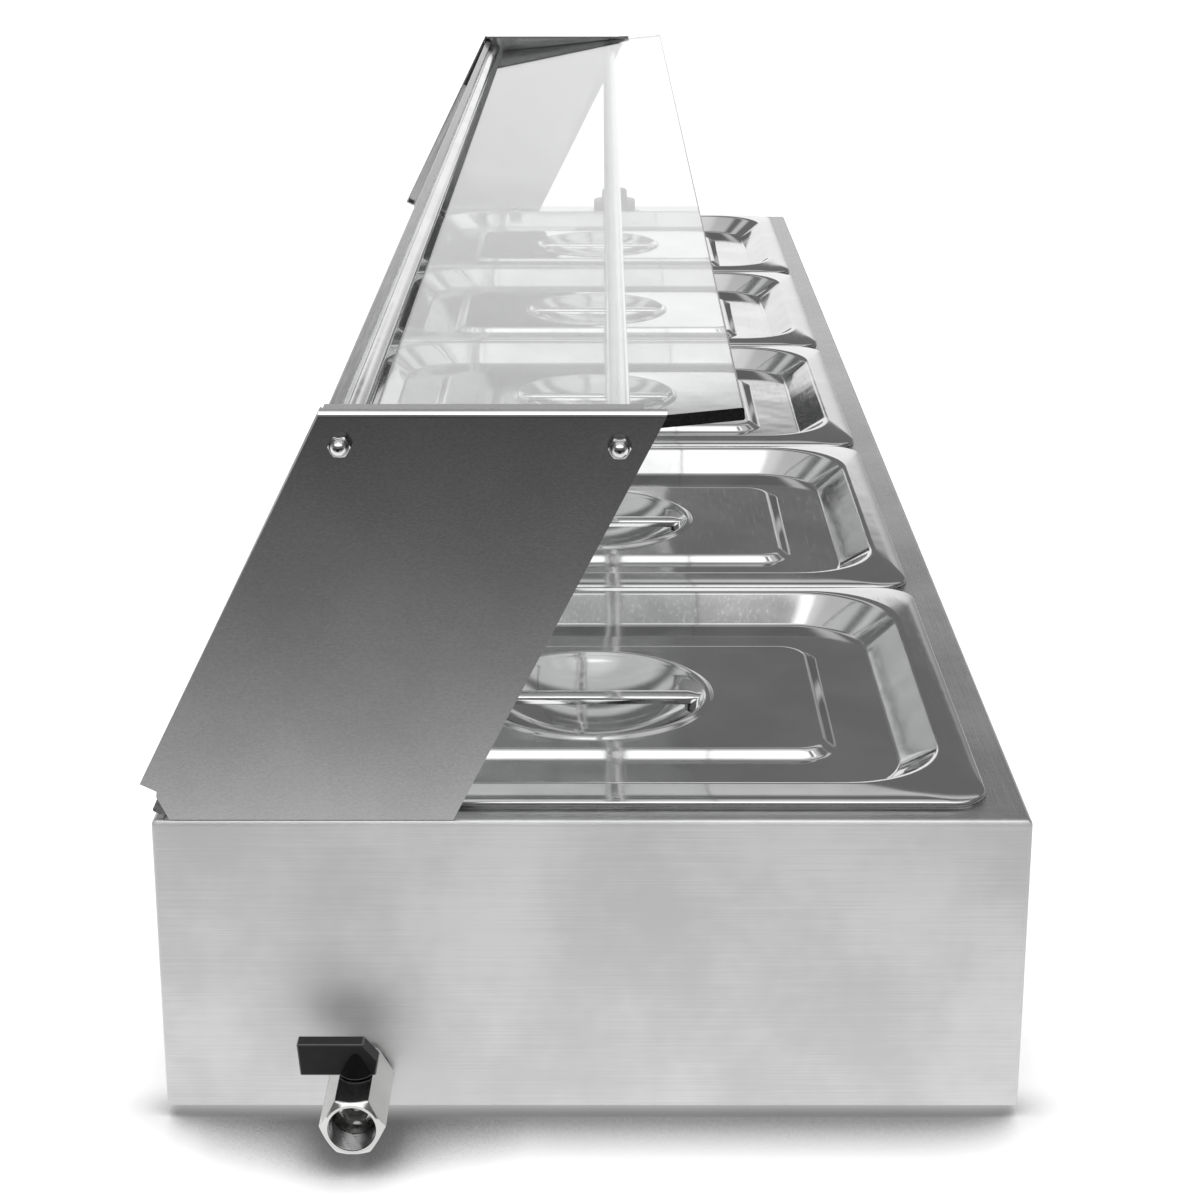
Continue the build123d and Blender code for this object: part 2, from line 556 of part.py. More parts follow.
# Control box at the far end, with its base, ears and screws
control = block(CONTROL_X, -END_X, -CONTROL_HALF, CONTROL_HALF, FOOT_HEIGHT + SHEET, CONTROL_TOP)
far_edges = control.faces().sort_by(Axis.X)[0].edges()
top_edges = control.faces().sort_by(Axis.Z)[-1].edges().filter_by(Axis.X)
control = fillet(far_edges.filter_by(Axis.Z) + far_edges.sort_by(Axis.Z)[-1:] + top_edges, CONTROL_EDGE)
control -= block(CONTROL_X + SHEET, -END_X + CUT, -CONTROL_HALF + SHEET, CONTROL_HALF - SHEET,
                 FOOT_HEIGHT, CONTROL_TOP - SHEET)
for sign in (-1, 1):
    ear = sorted((sign * CONTROL_HALF, sign * (CONTROL_HALF + EAR_WIDTH)))
    control += block(-END_X - SHEET, -END_X, ear[0], ear[1], EAR_BOTTOM, EAR_TOP)
for y, z in EAR_SCREWS:
    control -= bar_x(SCREW_HOLE, -END_X - CUT, -END_X + CUT, y, z)
control -= bar_z(THERMOSTAT_BUSH, CONTROL_TOP - CUT, CONTROL_TOP + CUT, KNOB_X, KNOB_Y)
LAMP_X = -END_X - LAMP_FROM_BODY
LAMPS = (("lamp_power", KNOB_Y - LAMP_FROM_KNOB), ("lamp_heat", KNOB_Y - LAMP_FROM_KNOB - LAMP_SPACING))
for name, y in LAMPS:
    control -= bar_z(LAMP_RADIUS, CONTROL_TOP - CUT, CONTROL_TOP + CUT, LAMP_X, y)
control -= bar_x(GLAND_THREAD, CONTROL_X - CUT, CONTROL_X + CUT, GLAND_Y, GLAND_Z)
save("control_box", control)

control_base = block(CONTROL_X + SHEET, -END_X, -CONTROL_HALF + SHEET, CONTROL_HALF - SHEET,
                     FOOT_HEIGHT + SHEET, BASE_TOP)
save("control_base", control_base)

ear_face = -END_X - SHEET
ear_slot = ear_face - SCREW_HEAD_HEIGHT + SCREW_SLOT_DEPTH
control_screws = []
for y, z in EAR_SCREWS:
    screw = bar_x(SCREW_HEAD_RADIUS, ear_face - SCREW_HEAD_HEIGHT, ear_face, y, z)
    screw += bar_x(SCREW_RADIUS, ear_face, ear_face + SCREW_LENGTH, y, z)
    screw -= block(ear_slot - CUT, ear_slot, y - SCREW_SLOT_WIDTH / 2, y + SCREW_SLOT_WIDTH / 2,
                   z - SCREW_HEAD_RADIUS, z + SCREW_HEAD_RADIUS)
    control_screws.append(screw)
save("control_screws", *control_screws)

block_half = TERMINAL_WIDTH / 2
block_top = BASE_TOP + TERMINAL_HEIGHT
terminal_block = block(KNOB_X - block_half, KNOB_X + block_half, -TERMINAL_LENGTH / 2, TERMINAL_LENGTH / 2,
                       BASE_TOP, block_top)
for i in (-1, 0, 1):
    terminal_block -= bar_z(TERMINAL_HOLE, block_top - TERMINAL_HOLE_DEPTH, block_top + CUT,
                            KNOB_X, i * TERMINAL_PITCH)
save("terminal_block", terminal_block)

gland_end = CONTROL_X + SHEET + GLAND_NUT_HEIGHT
gland_shoulder = CONTROL_X - GLAND_HEX_HEIGHT
gland_mouth = CONTROL_X - GLAND_REACH
cable_gland = hex_x(GLAND_FLATS, gland_shoulder, CONTROL_X, GLAND_Y, GLAND_Z)
cable_gland += bar_x(GLAND_THREAD + GLAND_WALL, gland_mouth, gland_shoulder, GLAND_Y, GLAND_Z)
cable_gland += bar_x(GLAND_THREAD, CONTROL_X, CONTROL_X + SHEET, GLAND_Y, GLAND_Z)
cable_gland += hex_x(GLAND_FLATS, CONTROL_X + SHEET, gland_end, GLAND_Y, GLAND_Z)
cable_gland = fillet(cable_gland.faces().sort_by(Axis.X)[0].edges(), GLAND_ROUND)
cable_gland -= bar_x(GLAND_BORE, gland_mouth - CUT, gland_end + CUT, GLAND_Y, GLAND_Z)
save("cable_gland", cable_gland)

# Lamps, the dial plate and the thermostat knob
bezel_top = CONTROL_TOP + LAMP_BEZEL_HEIGHT
bezels = []
for name, y in LAMPS:
    lamp = bar_z(LAMP_RADIUS, CONTROL_TOP - LAMP_DEPTH, CONTROL_TOP + LAMP_HEIGHT, LAMP_X, y)
    lamp = fillet(lamp.faces().sort_by(Axis.Z)[-1].edges(), LAMP_RADIUS / 2)
    save(name, lamp)
    bezels.append(ring_z(LAMP_BEZEL, LAMP_RADIUS, CONTROL_TOP, bezel_top, LAMP_X, y))
save("lamp_bezels", *bezels)

dial_top = CONTROL_TOP + DIAL_THICKNESS
save("dial_plate", ring_z(DIAL_RADIUS, THERMOSTAT_BUSH, CONTROL_TOP, dial_top, KNOB_X, KNOB_Y))

knob_base = CONTROL_TOP + KNOB_GAP
save("thermostat_shaft", bar_z(SHAFT_RADIUS, shaft_foot, knob_base + SHAFT_GRIP, KNOB_X, KNOB_Y))

knob = bar_z(KNOB_RADIUS, knob_base, knob_base + KNOB_HEIGHT, KNOB_X, KNOB_Y)
knob = fillet(knob.faces().sort_by(Axis.Z)[-1].edges(), KNOB_ROUND)
for side in (-1, 1):
    cut = sorted((KNOB_Y + side * KNOB_GRIP_WIDTH / 2, KNOB_Y + side * 2 * KNOB_RADIUS))
    knob -= block(KNOB_X - KNOB_GRIP_LENGTH / 2, KNOB_X + KNOB_GRIP_LENGTH / 2, cut[0], cut[1],
                  knob_base + KNOB_BASE_HEIGHT, knob_base + 2 * KNOB_HEIGHT)
knob -= bar_z(SHAFT_RADIUS, knob_base - CUT, knob_base + SHAFT_GRIP, KNOB_X, KNOB_Y)
save("thermostat_knob", knob)

# Drain: nipple through both end walls, washer and ball valve
nipple_end = VALVE_REAR + NIPPLE_SOCKET - NIPPLE_END_GAP
nipple = bar_x(NIPPLE_RADIUS, TANK_X, nipple_end, VALVE_Y, VALVE_Z)
nipple += bar_x(COLLAR_RADIUS, TANK_X + SHEET, END_X - SHEET, VALVE_Y, VALVE_Z)
nipple -= bar_x(NIPPLE_BORE, TANK_X - CUT, nipple_end + CUT, VALVE_Y, VALVE_Z)
save("drain_nipple", nipple)

washer = bar_x(VALVE_FLATS / 2 - WASHER_INSET, END_X, VALVE_REAR, VALVE_Y, VALVE_Z)
washer -= bar_x(NIPPLE_RADIUS + RUNNING_FIT, END_X - CUT, VALVE_REAR + CUT, VALVE_Y, VALVE_Z)
save("valve_washer", washer)

chamber_rear = VALVE_REAR + NIPPLE_SOCKET + CHAMBER_WALL
chamber_front = chamber_rear + CHAMBER_LENGTH
ball_x = chamber_rear + SEAT_WALL + BALL_RADIUS
hex_top = VALVE_Z + VALVE_FLATS / 2
boss_top = hex_top + STEM_BOSS_HEIGHT
barrel_radius = VALVE_FLATS / math.sqrt(3) - VALVE_CHAMFER / 2
barrel = bar_x(barrel_radius, VALVE_REAR, VALVE_FRONT, VALVE_Y, VALVE_Z)
barrel = chamfer(barrel.faces().sort_by(Axis.X)[-1].edges(), VALVE_CHAMFER)
valve_body = hex_x(VALVE_FLATS, VALVE_REAR, VALVE_FRONT, VALVE_Y, VALVE_Z) & barrel
valve_body += bar_z(STEM_BOSS_RADIUS, VALVE_Z, boss_top, ball_x, VALVE_Y)
valve_body -= bar_x(NIPPLE_RADIUS + SLIP_FIT, VALVE_REAR - CUT, VALVE_REAR + NIPPLE_SOCKET, VALVE_Y, VALVE_Z)
valve_body -= bar_x(NIPPLE_BORE, VALVE_REAR, chamber_rear + CUT, VALVE_Y, VALVE_Z)
valve_body -= bar_x(CHAMBER_RADIUS, chamber_rear, chamber_front + CUT, VALVE_Y, VALVE_Z)
valve_body -= bar_x(OUTLET_RADIUS, chamber_front, VALVE_FRONT + CUT, VALVE_Y, VALVE_Z)
valve_body -= bar_z(STEM_RADIUS + RUNNING_FIT, VALVE_Z, boss_top + CUT, ball_x, VALVE_Y)
valve_body -= bar_z(SEAL_RADIUS, boss_top - SEAL_HEIGHT, boss_top + CUT, ball_x, VALVE_Y)
save("valve_body", valve_body)

stem_seal = ring_z(SEAL_RADIUS, STEM_RADIUS + RUNNING_FIT, boss_top - SEAL_HEIGHT, boss_top, ball_x, VALVE_Y)
save("stem_seal", stem_seal)

ball_centre = Pos(ball_x, VALVE_Y, VALVE_Z)
retainer_rear = chamber_front - RETAINER_LENGTH
seats = []
for x0 in (chamber_rear, retainer_rear - SEAT_LENGTH):
    x1 = x0 + SEAT_LENGTH
    seat = bar_x(CHAMBER_RADIUS, x0, x1, VALVE_Y, VALVE_Z)
    seat -= bar_x(BALL_BORE, x0 - CUT, x1 + CUT, VALVE_Y, VALVE_Z)
    seat -= ball_centre * Rot(0, 90, 0) * Sphere(BALL_RADIUS + RUNNING_FIT)
    seats.append(seat)
save("valve_seats", *seats)

retainer = bar_x(CHAMBER_RADIUS, retainer_rear, chamber_front, VALVE_Y, VALVE_Z)
retainer -= hex_x(RETAINER_FLATS, retainer_rear - CUT, chamber_front + CUT, VALVE_Y, VALVE_Z)
save("valve_retainer", retainer)

# The closed ball has its bore across the pipe, along the lever
slot_floor = VALVE_Z + BALL_RADIUS - BALL_SLOT_DEPTH
slot_half = BALL_SLOT_WIDTH / 2
ball = ball_centre * Sphere(BALL_RADIUS)
ball -= ball_centre * Rot(90, 0, 0) * Cylinder(BALL_BORE, 4 * BALL_RADIUS)
ball -= block(ball_x - slot_half, ball_x + slot_half, VALVE_Y - BALL_RADIUS, VALVE_Y + BALL_RADIUS,
              slot_floor, VALVE_Z + 2 * BALL_RADIUS)
save("valve_ball", ball)

lever_foot = hex_top + LEVER_GAP
lever_top = lever_foot + LEVER_HEIGHT
recess_top = boss_top + LEVER_GAP
stem_foot = VALVE_Z + BALL_RADIUS + RUNNING_FIT
stem_top = recess_top + STEM_GRIP
stem = bar_z(STEM_RADIUS, stem_foot, stem_top, ball_x, VALVE_Y)
stem += block(ball_x - slot_half, ball_x + slot_half, VALVE_Y - STEM_RADIUS / 2, VALVE_Y + STEM_RADIUS / 2,
              slot_floor, stem_foot)
save("valve_stem", stem)

lever_end = VALVE_Y - LEVER_LENGTH
lever_tail = VALVE_Y + LEVER_TAIL
blade = [(lever_end, lever_top), (lever_tail - LEVER_SLANT, lever_top), (lever_tail, lever_top - LEVER_CHIN),
         (lever_tail - LEVER_ROUND, lever_foot), (lever_end + LEVER_ROUND, lever_foot)]
lever = side_prism(blade, ball_x - LEVER_THICKNESS / 2, ball_x + LEVER_THICKNESS / 2)
lever = fillet(lever.edges().filter_by(Axis.X), LEVER_ROUND)
hub_height = LEVER_HEIGHT - HUB_DROP
hub = Cone(HUB_RADIUS, LEVER_THICKNESS / 2, hub_height)
lever += Pos(ball_x, VALVE_Y, lever_foot + hub_height / 2) * hub
lever -= bar_z(STEM_BOSS_RADIUS + LEVER_GAP, hex_top, recess_top, ball_x, VALVE_Y)
lever -= bar_z(STEM_RADIUS, hex_top, stem_top, ball_x, VALVE_Y)
set_screw_z = (recess_top + stem_top) / 2
set_screw_tip = ball_x - STEM_RADIUS
lever -= bar_x(SET_SCREW_RADIUS, ball_x - 2 * HUB_RADIUS, ball_x, VALVE_Y, set_screw_z)
save("valve_lever", lever)

set_screw = bar_x(SET_SCREW_RADIUS, set_screw_tip - SET_SCREW_LENGTH, ball_x, VALVE_Y, set_screw_z)
set_screw -= bar_z(STEM_RADIUS, hex_top, lever_top, ball_x, VALVE_Y)
save("lever_set_screw", set_screw)


# Guard: places along and inward from the leaning front edge of the panels
def on_edge(along, inward):
    y = TIP_Y + along * LEAN_SIN + inward * LEAN_COS
    z = DECK_Z + TIP_RISE + along * LEAN_COS - inward * LEAN_SIN
    return (y, z)


def edge_strip(a0, a1, n0, n1, x0, x1):
    return side_prism([on_edge(a0, n0), on_edge(a1, n0), on_edge(a1, n1), on_edge(a0, n1)], x0, x1)


top_front = PANEL_TOP_FRONT + TOP_GLASS_SETBACK
top_rear = top_front + TOP_GLASS_WIDTH
tilt = math.radians(TOP_GLASS_TILT)


def under_glass(y):
    return GUARD_TOP - TOP_GLASS_DROP + (y - top_front) * math.tan(tilt)


channel = FRONT_GLASS_OFFSET + GLASS_THICKNESS - GLASS_BEVEL
front_rod_inward = FRONT_GLASS_OFFSET + GLASS_THICKNESS + ROD_RADIUS + ROD_SEAT_GAP
front_rod_along = (GUARD_HEIGHT - FRONT_ROD_DROP - TIP_RISE + front_rod_inward * LEAN_SIN) / LEAN_COS
front_rod_place = on_edge(front_rod_along, front_rod_inward)
rear_rod_y = PANEL_TOP_REAR - REAR_ROD_INSET
rear_rod_place = (rear_rod_y, under_glass(rear_rod_y) - (ROD_RADIUS + ROD_SEAT_GAP) / math.cos(tilt))
heel = (PANEL_FOOT_FRONT - HEEL_REACH, DECK_Z + HEEL_RISE)
profile = [on_edge(0, 0), (PANEL_TOP_FRONT, GUARD_TOP), (PANEL_TOP_REAR, GUARD_TOP),
           (PANEL_FOOT_REAR, DECK_Z), (PANEL_FOOT_FRONT, DECK_Z), heel, on_edge(0, channel)]
panel = side_prism(profile, PANEL_IN, PANEL_OUT)
panel += block(FLANGE_IN, PANEL_OUT, PANEL_TOP_FRONT + PANEL_SHEET, PANEL_TOP_REAR - PANEL_FLANGE_TRIM,
               GUARD_TOP - PANEL_SHEET, GUARD_TOP)
panel += block(FLANGE_IN, PANEL_OUT, PANEL_FOOT_FRONT + PANEL_SHEET, PANEL_FOOT_REAR - PANEL_SHEET,
               DECK_Z, DECK_Z + PANEL_SHEET)
panel += edge_strip(0, EDGE_LENGTH - PANEL_SHEET, 0, PANEL_SHEET, FLANGE_IN, PANEL_OUT)
panel += edge_strip(0, PANEL_SHEET, 0, channel, FLANGE_IN, PANEL_OUT)
top_bend = panel.edges().filter_by(Axis.Y).group_by(Axis.Z)[-1].sort_by(Axis.X)[-1]
panel = fillet([top_bend], PANEL_BEND)
for y, z in (front_rod_place, rear_rod_place):
    panel -= bar_x(ROD_STUD_RADIUS + SCREW_CLEARANCE, PANEL_IN - CUT, PANEL_OUT + CUT, y, z)
for y in GUARD_SCREW_YS:
    panel -= bar_z(SCREW_HOLE, DECK_Z - CUT, DECK_Z + PANEL_SHEET + CUT, GUARD_SCREW_X, y)
save("guard_panel_tap", panel)
save("guard_panel_control", mirrored(panel))

screw_seat = DECK_Z + PANEL_SHEET
save("guard_screws", *[screw_z(x, y, screw_seat, SCREW_LENGTH, SCREW_RADIUS, -1) for x, y in GUARD_SCREWS])

dome_x = PANEL_OUT + ROD_STUD_REACH
acorn_nuts = []
for name, place in (("front_rod", front_rod_place), ("rear_rod", rear_rod_place)):
    y, z = place
    rod = bar_x(ROD_RADIUS, -PANEL_IN, PANEL_IN, y, z)
    rod += bar_x(ROD_STUD_RADIUS, -dome_x, dome_x, y, z)
    save(name, rod)
    dome = Pos(dome_x, y, z) * Rot(0, 90, 0) * Sphere(NUT_DOME_RADIUS)
    nut = bar_x(NUT_DOME_RADIUS, PANEL_OUT, dome_x, y, z) + dome
    nut += hex_x(NUT_FLATS, PANEL_OUT, PANEL_OUT + NUT_HEIGHT, y, z)
    nut -= bar_x(ROD_STUD_RADIUS, PANEL_OUT - CUT, dome_x, y, z)
    acorn_nuts.append(nut)
    acorn_nuts.append(mirrored(nut))
save("acorn_nuts", *acorn_nuts)

# Front glass: leans on the front rod, stands on the foot flanges of the panels, a little more upright
# than their front edges, with a wedge of tape behind each front flange
pane_lean = math.radians(GUARD_LEAN - FRONT_GLASS_UPRIGHT)
pane_rear = -ROD_RADIUS - ROD_SEAT_GAP
pane_front = pane_rear - GLASS_THICKNESS
pane_top = EDGE_LENGTH - PANEL_SHEET - FRONT_GLASS_TOP_GAP - front_rod_along
pane_drop = front_rod_place[1] - DECK_Z - PANEL_SHEET - (pane_rear - GLASS_BEVEL) * math.sin(pane_lean)
pane_foot = -pane_drop / math.cos(pane_lean)


def on_pane(along, inward):
    y = front_rod_place[0] + along * math.sin(pane_lean) + inward * math.cos(pane_lean)
    z = front_rod_place[1] + along * math.cos(pane_lean) - inward * math.sin(pane_lean)
    return (y, z)


front_glass = side_prism([on_pane(pane_foot, pane_front), on_pane(pane_top, pane_front),
                          on_pane(pane_top, pane_rear), on_pane(pane_foot, pane_rear)], -GLASS_END, GLASS_END)
front_glass = chamfer(front_glass.edges().filter_by(Axis.X), GLASS_BEVEL)
save("front_glass", front_glass)

upright = math.radians(FRONT_GLASS_UPRIGHT)
tape_outline = []
for along in (front_rod_along - TAPE_LENGTH, front_rod_along):
    tape_outline.append(on_edge(along, PANEL_SHEET))
for along in (front_rod_along, front_rod_along - TAPE_LENGTH):
    inward = front_rod_inward + pane_front / math.cos(upright) + (front_rod_along - along) * math.tan(upright)
    tape_outline.append(on_edge(along, inward))
tape = side_prism(tape_outline, FLANGE_IN, GLASS_END)
save("glass_tapes", tape, mirrored(tape))

rise = GLASS_THICKNESS * math.cos(tilt)
lean = GLASS_THICKNESS * math.sin(tilt)
front_under = under_glass(top_front)
rear_under = under_glass(top_rear)
top_points = [(top_front, front_under), (top_rear, rear_under), (top_rear - lean, rear_under + rise),
              (top_front - lean, front_under + rise)]
top_glass = side_prism(top_points, -GLASS_END, GLASS_END)
top_glass = chamfer(top_glass.edges().filter_by(Axis.X), GLASS_BEVEL)
save("top_glass", top_glass)

ledge_rear = top_front + LEDGE_WIDTH
ledge_under = under_glass(ledge_rear)
ledge_points = [(top_front, front_under), (ledge_rear, ledge_under), (ledge_rear, ledge_under - LEDGE_SHEET),
                (top_front, front_under - LEDGE_SHEET)]
ledge = side_prism(ledge_points, PANEL_IN - LEDGE_REACH, PANEL_IN)
ledge += block(PANEL_IN - LEDGE_SHEET, PANEL_IN, top_front, ledge_rear, front_under - LEDGE_HEIGHT,
               front_under - LEDGE_SHEET / 2)
save("glass_ledges", ledge, mirrored(ledge))


# Pans: drawn cups with a flat rim and a turned-down edge
def cup(inset, depth, floor_radius):
    outline = RectangleRounded(CUP_LENGTH - 2 * inset, CUP_WIDTH - 2 * inset, PAN_CUP_CORNER - inset)
    solid = extrude(Pos(0, 0, RIM_TOP) * outline, depth, dir=(0, 0, -1), taper=PAN_DRAFT)
    return fillet(solid.faces().sort_by(Axis.Z)[0].edges(), floor_radius)


pan = slab(PAN_LENGTH, PAN_WIDTH, PAN_CORNER, DECK_Z, RIM_TOP)
pan = fillet(pan.faces().sort_by(Axis.Z)[-1].edges(), PAN_RIM_ROUND)
pan -= slab(PAN_LENGTH - 2 * PAN_SHEET, PAN_WIDTH - 2 * PAN_SHEET, PAN_CORNER - PAN_SHEET,
            DECK_Z - CUT, RIM_TOP - PAN_SHEET)
pan += cup(0, PAN_DEPTH, PAN_FLOOR_RADIUS)
pan -= cup(PAN_SHEET, PAN_DEPTH - PAN_SHEET, PAN_FLOOR_RADIUS - PAN_SHEET)

# Lids: pressed sheet with a turned-down edge, a dished middle, a raised field and a round hand cup
lid_length = PAN_LENGTH - 2 * LID_INSET
lid_width = PAN_WIDTH - 2 * LID_INSET
lid_corner = PAN_CORNER - LID_INSET
dish_length = lid_length - 2 * LID_FLANGE
dish_width = lid_width - 2 * LID_FLANGE
floor_length = dish_length - 2 * LID_SLOPE_RUN
floor_width = dish_width - 2 * LID_SLOPE_RUN
field_length = floor_length - 2 * FIELD_MARGIN_X
field_width = floor_width - 2 * FIELD_MARGIN_Y
floor_z = LID_TOP - LID_SLOPE_DROP
field_z = floor_z + FIELD_HEIGHT
cup_radius = field_length / 2 - FIELD_RUN - CUP_MARGIN
cup_sphere = (cup_radius ** 2 + CUP_DEPTH ** 2) / (2 * CUP_DEPTH)
lid_foot = LID_TOP - 3 * CUP_DEPTH


def lid_block(inset):
    # The space under the lid's skin; inset moves every face in and down by the sheet's thickness
    solid = slab(lid_length - 2 * inset, lid_width - 2 * inset, lid_corner - inset, lid_foot, LID_TOP - inset)
    solid = fillet(solid.faces().sort_by(Axis.Z)[-1].edges(), LID_EDGE_RADIUS - inset)
    dish_top = Pos(0, 0, LID_TOP - inset) * RectangleRounded(dish_length, dish_width, LID_SLOPE_CORNER)
    dish_floor = Pos(0, 0, floor_z - inset) * RectangleRounded(floor_length, floor_width, LID_FLOOR_CORNER)
    solid -= loft([dish_floor, dish_top])
    field_floor = Pos(0, 0, floor_z - inset) * RectangleRounded(field_length, field_width, FIELD_CORNER)
    field_top = Pos(0, 0, field_z - inset) * RectangleRounded(
        field_length - 2 * FIELD_RUN, field_width - 2 * FIELD_RUN, FIELD_CORNER - FIELD_RUN)
    solid += loft([field_floor, field_top])
    solid += Pos(0, 0, field_z - inset - BEAD_SINK) * Torus(cup_radius + BEAD_OFFSET, BEAD_RADIUS)
    return solid - Pos(0, 0, field_z - inset + cup_sphere - CUP_DEPTH) * Sphere(cup_sphere)


lid_solid = lid_block(0)
lid = lid_solid - lid_block(PAN_SHEET)
kept = slab(lid_length + CUT, lid_width + CUT, lid_corner, RIM_TOP, LID_TOP + CUT)
kept += slab(dish_length, dish_width, lid_corner, lid_foot, RIM_TOP + CUT)
lid = lid & kept

handle_top = field_z + HANDLE_RISE
handle_half = cup_radius + HANDLE_LAP
handle = block(-HANDLE_WIDTH / 2, HANDLE_WIDTH / 2, -handle_half, handle_half,
               handle_top - HANDLE_THICKNESS, handle_top)
handle = fillet(handle.edges().filter_by(Axis.Y), HANDLE_ROUND)
handle -= lid_solid

for i in range(PAN_COUNT):
    number = str(PAN_COUNT - i)
    place = Pos(PAN_CENTRES[i], 0, 0)
    save("pan_" + number, place * pan)
    save("lid_" + number, place * lid)
    save("lid_handle_" + number, place * handle)
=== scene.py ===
import math

import bmesh
import bpy
from mathutils import Matrix, Vector


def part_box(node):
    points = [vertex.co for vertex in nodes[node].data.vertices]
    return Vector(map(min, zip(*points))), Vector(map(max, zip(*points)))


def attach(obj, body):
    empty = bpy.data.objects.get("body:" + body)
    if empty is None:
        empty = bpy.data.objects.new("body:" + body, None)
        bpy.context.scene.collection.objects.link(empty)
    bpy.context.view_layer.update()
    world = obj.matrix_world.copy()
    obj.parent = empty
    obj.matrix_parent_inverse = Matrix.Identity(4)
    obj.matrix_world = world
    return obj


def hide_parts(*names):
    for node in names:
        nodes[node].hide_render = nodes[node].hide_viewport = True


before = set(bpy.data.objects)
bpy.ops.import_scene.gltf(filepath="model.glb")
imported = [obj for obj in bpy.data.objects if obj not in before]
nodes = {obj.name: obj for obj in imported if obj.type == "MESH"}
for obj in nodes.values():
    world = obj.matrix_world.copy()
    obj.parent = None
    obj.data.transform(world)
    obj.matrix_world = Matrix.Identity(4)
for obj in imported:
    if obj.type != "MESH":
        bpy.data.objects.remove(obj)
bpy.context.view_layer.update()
scene = bpy.context.scene
scene.view_settings.view_transform = "Standard"

# Places shared with the solids, in metres
MM = 0.001
FULL_TURN = 2 * math.pi
casing_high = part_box("casing")[1]
DECK = casing_high.z
END = casing_high.x
SIDE = casing_high.y
PAN_COUNT = 5


def middle(node_name):
    """The middle of a node's box."""
    return [(near + far) / 2 for near, far in zip(*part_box(node_name))]


def half_size(node_name):
    """Half the size of a node's box."""
    return [(far - near) / 2 for near, far in zip(*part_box(node_name))]


# Shader maths

class Flow:
    """A shader value; the operators add the nodes that work it out."""

    def __init__(self, finish, socket):
        self.finish = finish
        self.socket = socket

    def _with(self, operation, first, second):
        return self.finish.node("ShaderNodeMath", {"operation": operation}, {0: first, 1: second})

    def __add__(self, other):
        return self._with("ADD", self, other)

    def __radd__(self, other):
        return self._with("ADD", other, self)

    def __sub__(self, other):
        return self._with("SUBTRACT", self, other)

    def __rsub__(self, other):
        return self._with("SUBTRACT", other, self)

    def __mul__(self, other):
        return self._with("MULTIPLY", self, other)

    def __rmul__(self, other):
        return self._with("MULTIPLY", other, self)

    def __truediv__(self, other):
        return self._with("DIVIDE", self, other)

    def __rtruediv__(self, other):
        return self._with("DIVIDE", other, self)

    def __pow__(self, other):
        return self._with("POWER", self, other)

    def __abs__(self):
        return self.finish.node("ShaderNodeMath", {"operation": "ABSOLUTE"}, {0: self})

    def at_least(self, other):
        return self._with("MAXIMUM", self, other)

    def at_most(self, other):
        return self._with("MINIMUM", self, other)

    def above(self, low, high):
        """0 below low, 1 above high and smooth in between."""
        return self.finish.node("ShaderNodeMapRange", {"interpolation_type": "SMOOTHSTEP"},
                                {"Value": self, "From Min": low, "From Max": high})

    def below(self, low, high):
        """1 below low, 0 above high and smooth in between."""
        return 1 - self.above(low, high)

    def swing(self, amount):
        """A change of up to half the amount either way, from a value between 0 and 1."""
        return (self - 0.5) * amount


class Finish:
    """The node tree of one material or of the world."""

    def __init__(self, tree):
        self.tree = tree

    def node(self, kind, settings=None, sockets=None, output=0):
        made = self.tree.nodes.new(kind)
        for name, value in (settings or {}).items():
            setattr(made, name, value)
        for name, value in (sockets or {}).items():
            self.feed(made.inputs[name], value)
        return Flow(self, made.outputs[output])

    def feed(self, socket, value):
        if isinstance(value, Flow):
            self.tree.links.new(value.socket, socket)
        else:
            socket.default_value = value

    def dress(self, **sockets):
        """Sets or links the sockets of a material's shader."""
        shader = self.tree.nodes["Principled BSDF"]
        for name, value in sockets.items():
            self.feed(shader.inputs[name.replace("_", " ")], value)

    def place(self):
        """Object coordinates: the row frame in metres for every piece that sits at the origin."""
        return self.node("ShaderNodeTexCoord", output="Object")

    def split(self, vector):
        parts = self.node("ShaderNodeSeparateXYZ", None, {"Vector": vector})
        outputs = parts.socket.node.outputs
        return [Flow(self, outputs[axis]) for axis in ("X", "Y", "Z")]

    def noise(self, vector, scale, detail=2.0, rough=0.5):
        return self.node("ShaderNodeTexNoise", {"noise_dimensions": "3D"},
                         {"Vector": vector, "Scale": scale, "Detail": detail, "Roughness": rough}, "Fac")

    def grain(self, vector, marks, detail=2.0, rough=0.5):
        """Noise with its own count of marks per metre along each axis."""
        drawn = self.node("ShaderNodeVectorMath", {"operation": "MULTIPLY"}, {0: vector, 1: marks})
        return self.noise(drawn, 1.0, detail, rough)

    def tone(self, factor, low, high):
        """A colour between two others by a factor."""
        return self.node("ShaderNodeMix", {"data_type": "RGBA"},
                         {0: factor, 6: (*low, 1), 7: (*high, 1)}, 2)

    def grey_of(self, level):
        return self.node("ShaderNodeCombineColor", None, {0: level, 1: level, 2: level})

    def bump(self, height, distance, strength):
        return self.node("ShaderNodeBump", None,
                         {"Height": height, "Distance": distance, "Strength": strength})

    def ray(self, kind):
        return self.node("ShaderNodeLightPath", output=kind)

    def sorted_rays(self):
        """Masks of the rays straight from the camera, through glass too, and of those that gloss turned."""
        mirrored = self.ray("Glossy Depth").at_most(1)
        straight = self.ray("Is Camera Ray").at_least(self.ray("Is Transmission Ray") * (1 - mirrored))
        return straight, mirrored


def new_finish(name):
    material = bpy.data.materials.new(name)
    material.use_nodes = True
    return material, Finish(material.node_tree)


def grey(value):
    return (value, value, value)


